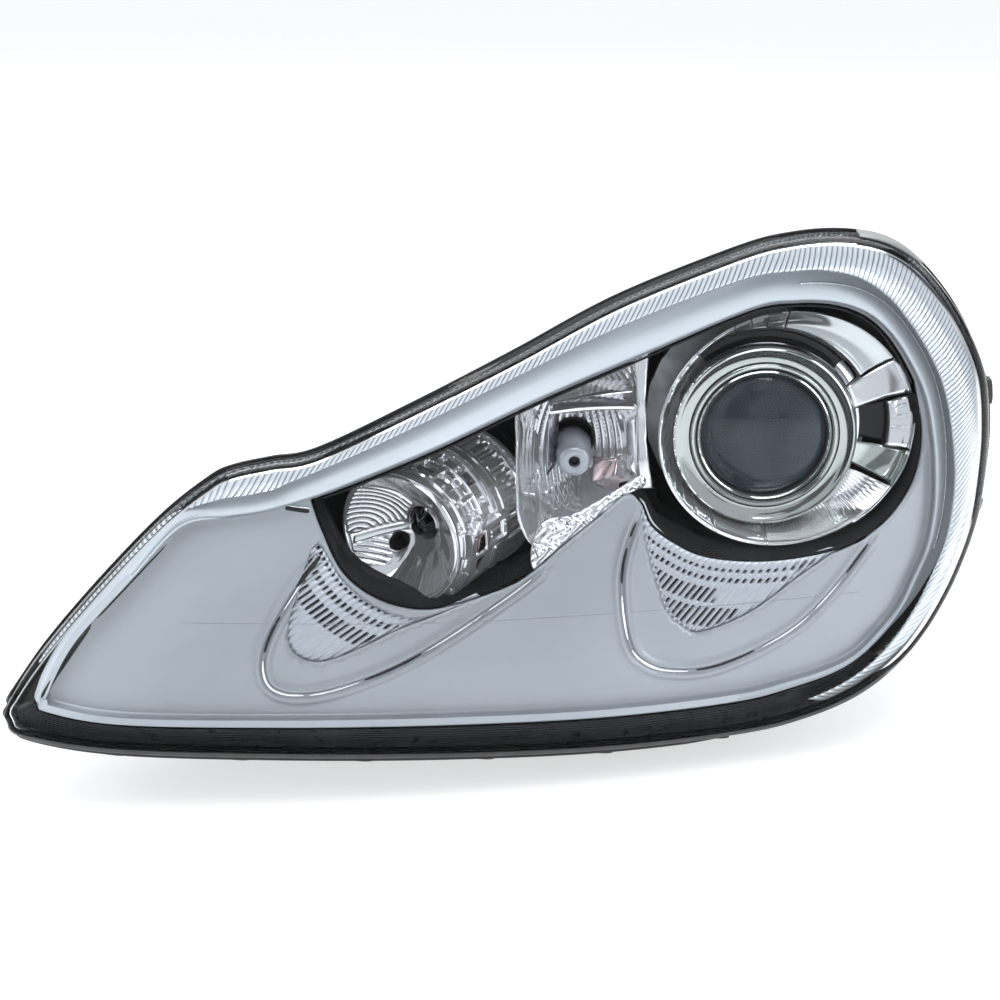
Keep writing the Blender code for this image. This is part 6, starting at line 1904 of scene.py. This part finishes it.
    # shoe: flat seat, side grooves and cross ribs
    lo, hi = (design(v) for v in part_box("mounting_shoe"))
    shoe = Build()
    cx, cy = (lo[0] + hi[0]) / 2, (lo[1] + hi[1]) / 2
    w, d = hi[0] - lo[0], hi[1] - lo[1]
    loft(shoe, (cx, cy, 0), [(lo[2], w - 4, d - 4, 2.5), (lo[2] + 0.7, w - 1, d - 1, 3), (lo[2] + 2, w, d, 3), (lo[2] + 6, w, d, 3), (lo[2] + 6.6, w - 7, d - 7, 3), (lo[2] + 12, w - 7, d - 7, 3),
                             (lo[2] + 12.6, w, d, 3), (hi[2] - 1, w, d, 3), (hi[2], w - 2, d - 2, 3)], "z")
    for k in range(5):
        bar(shoe, (cx - 42 + k * 21, cy, lo[2] + 9.3), (2.4, d - 2, 5.6), 0.6)
    clean(shoe.make("guide_shoe", M_BLACK, node="mounting_shoe", slot="black_plastic", sharp=30))
    # bulb holder's outer end
    c = (TURN[0], 0, TURN[2])

    def eared(a, p, radius):
        return np.where((p[:, 0] > 18) & (abs(math.cos(a)) > 0.93), radius + 1.0, radius)

    prof = rounded([(14, -165), (14, -218), (18.6, -218.6), (18.6, -224), (12, -225), (12, -240), (8.6, -240), (8.2, -229), (0, -229), (0, -171), (9, -171), (9, -165)], 0.7, 2)
    clean(turned(prof, c, FWD, 96, ripple=eared).make("turn_holder_body", M_BLACK, body="turn_holder", node="turn_socket", slot="black_plastic", sharp=30))
    grips = Build()
    bar(grips, (TURN[0], 231.5, TURN[2] + 13.6), (4, 12, 5), 0.8)
    bar(grips, (TURN[0], 231.5, TURN[2] - 13.6), (4, 12, 5), 0.8)
    for k in (-1, 1):
        bar(grips, (TURN[0] + k * 3.2, 233.4, TURN[2]), (1.2, 9, 3), 0.3)
    clean(grips.make("turn_holder_grips", M_BLACK, body="turn_holder", slot="black_plastic", sharp=30))


rear_small()


def corner_finish():
    s = Shader("pale_grey_green_moulding")
    tone = s.ramp(s.noise(20, 4), [(0.3, (0.20, 0.22, 0.21)), (0.7, (0.27, 0.29, 0.28))])
    s.set(Base_Color=tone, Roughness=s.span(s.noise(90, 3), 0.4, 0.55), Normal=s.bump(s.noise(900, 2), 0.1, 0.0003))
    return s.made


M_CORNER = corner_finish()


def guide_strip():
    """Pale strip behind the lens's upper outboard corner."""
    path = [i for i in range(N) if 212 < RIM[i, 0] < 264 and RIM[i, 1] > 50]
    path.sort(key=lambda i: KEY[i])
    rings = []
    for i in path[2:-2]:
        base = float(face_depth(RIM[i, 0], RIM[i, 1])) + RIM_HEIGHT[i]
        a = RIM[i] + OUT[i] * 0.4
        b = a + OUT[i] * (0.4 + 1.5 * math.sin(math.pi * (len(rings) + 1) / (len(path) - 2)) ** 0.6)
        m = (a + b) / 2
        rings.append(np.array([(a[0], base - 12, a[1]), (m[0], base - 12.2, m[1]), (b[0], base - 10, b[1]), (b[0], base - 4, b[1]), (b[0], base + 7, b[1]), (a[0], base + 7, a[1]), (a[0], base + 2, a[1])]))
    Build().grid(rings, True, False, True).make("corner_strip", M_CORNER, node="corner_guide", slot="satin_silver", sharp=40)


guide_strip()


def mould_line():
    """Fine parting line across the clear cover's inner side."""
    path = catmull([(-184.0, -56.2), (-115.6, -59.6), (-29.2, -64.2), (35.4, -65.8), (119.9, -68.1), (220.9, -71.0)], 160, False)
    y = lens_depth(path, 0.4)
    points = [np.array((a[0], b, a[1])) for a, b in zip(path, y)]
    build = Build()
    tube(points, 0.2, 6, build=build)
    build.make("parting_line", M_LINE, slot="clear_lens")


def line_finish():
    s = Shader("dim_parting_line")
    tone = s.ramp(s.noise(12, 3), [(0.3, (0.24, 0.26, 0.28)), (0.7, (0.36, 0.38, 0.41))])
    s.set(Base_Color=tone, Roughness=s.span(s.noise(50, 2), 0.3, 0.5))
    return s.made


M_LINE = line_finish()
mould_line()


def lens_trim():
    """Black lip that holds the clear cover's lower edge, lapping a few millimetres over its front."""
    order = [i for i in range(N) if 1960 <= KEY[i] <= 2790]
    rows = [behind(inset(-0.7), EDGE + 18)[order], behind(inset(-0.8), EDGE + 1)[order]]
    fade = smooth_step(np.minimum(np.arange(len(order)), np.arange(len(order))[::-1]) / 10.0)
    for degrees in (5, 11, 17, 24, 31, 38):
        f = math.radians(degrees)
        flat = inset(ROLL * (1 - math.cos(f)) - 0.5)
        row = over(flat, EDGE * (1 - math.sin(f)) - 0.55)[order]
        rows.append(rows[1] * (1 - fade)[:, None] + row * fade[:, None])
    f = math.radians(38)
    last_row = over(inset(ROLL * (1 - math.cos(f))), EDGE * (1 - math.sin(f)) + 0.1)[order]
    rows.append(rows[1] * (1 - fade)[:, None] + last_row * fade[:, None])
    Build().grid(rows, closed=False).make("lower_lens_trim", M_BLACK, slot="black_plastic", solid=0.3, sharp=50)


lens_trim()


def gasket():
    rh = RIM_HEIGHT
    rows = [behind(inset(2.6), rh + 10.05), behind(inset(1.4), rh + 10.2), behind(inset(0.2), rh + 10.05), behind(inset(0.1), rh + 10.35), behind(inset(2.6), rh + 11.6)]
    Build().grid(rows, True, True, False).make("lens_gasket", M_RUBBER, node="lens_seal", slot="rubber", sharp=50)


gasket()
# ------------------------------------------------------------------ stage
def stage():
    mesh = bpy.data.meshes.new("floor")
    size = 14.0
    mesh.from_pydata([(-size, -size, 0), (size, -size, 0), (size, size, 0), (-size, size, 0)], [], [(0, 1, 2, 3)])
    floor = bpy.data.objects.new("floor", mesh)
    floor.location = (0, 0, CAD_BOX[0][2] - 0.0005)
    bpy.context.scene.collection.objects.link(floor)
    s = Shader("pale_floor")
    s.set(Base_Color=s.ramp(s.noise(0.6, 2), [(0.3, (0.50, 0.50, 0.505)), (0.7, (0.53, 0.53, 0.535))]), Roughness=0.6, Specular_IOR_Level=0.1,
          Emission_Color=(0.95, 0.955, 0.96, 1.0), Emission_Strength=0.66)
    mesh.materials.append(s.made)

    world_data = bpy.data.worlds.new("studio")
    bpy.context.scene.world = world_data
    world_data.use_nodes = True
    tree = world_data.node_tree
    where = tree.nodes.new("ShaderNodeTexCoord")
    # a pale tent with darker panels, so that polished parts have something to reflect
    noise = tree.nodes.new("ShaderNodeTexNoise")
    noise.inputs["Scale"].default_value = 2.1
    noise.inputs["Detail"].default_value = 1.0
    tree.links.new(where.outputs["Generated"], noise.inputs["Vector"])
    ramp = tree.nodes.new("ShaderNodeValToRGB")
    ramp.color_ramp.elements[0].position = 0.42
    ramp.color_ramp.elements[0].color = (0.10, 0.105, 0.115, 1)
    ramp.color_ramp.elements[1].position = 0.47
    ramp.color_ramp.elements[1].color = (0.78, 0.80, 0.83, 1)
    tree.links.new(noise.outputs["Fac"], ramp.inputs["Fac"])
    tree.links.new(ramp.outputs["Color"], tree.nodes["Background"].inputs["Color"])
    tree.nodes["Background"].inputs["Strength"].default_value = 0.9

    def lamp(name, where, size, power, aim=(0, -0.05, 0.16), colour=(1, 1, 1)):
        data = bpy.data.lights.new(name, "AREA")
        data.shape = "RECTANGLE"
        data.size, data.size_y = size
        data.energy = power
        data.color = colour
        light = bpy.data.objects.new(name, data)
        light.location = where
        light.rotation_euler = (Vector(aim) - Vector(where)).to_track_quat("-Z", "Y").to_euler()
        bpy.context.scene.collection.objects.link(light)

    lamp("key_overhead", (-0.3, -0.9, 2.0), (2.2, 1.2), 34)
    lamp("left_panel", (-2.0, -1.1, 0.9), (0.9, 1.6), 22, colour=(0.97, 0.98, 1.0))
    lamp("right_panel", (1.9, -0.6, 1.0), (0.8, 1.6), 24, colour=(0.97, 0.98, 1.0))
    lamp("back_wash", (0.2, 1.9, 1.6), (2.6, 1.0), 30, aim=(0, 0.3, 0.0))


stage()
bpy.context.scene.view_settings.view_transform = "Standard"
bpy.context.scene.view_settings.look = "None"
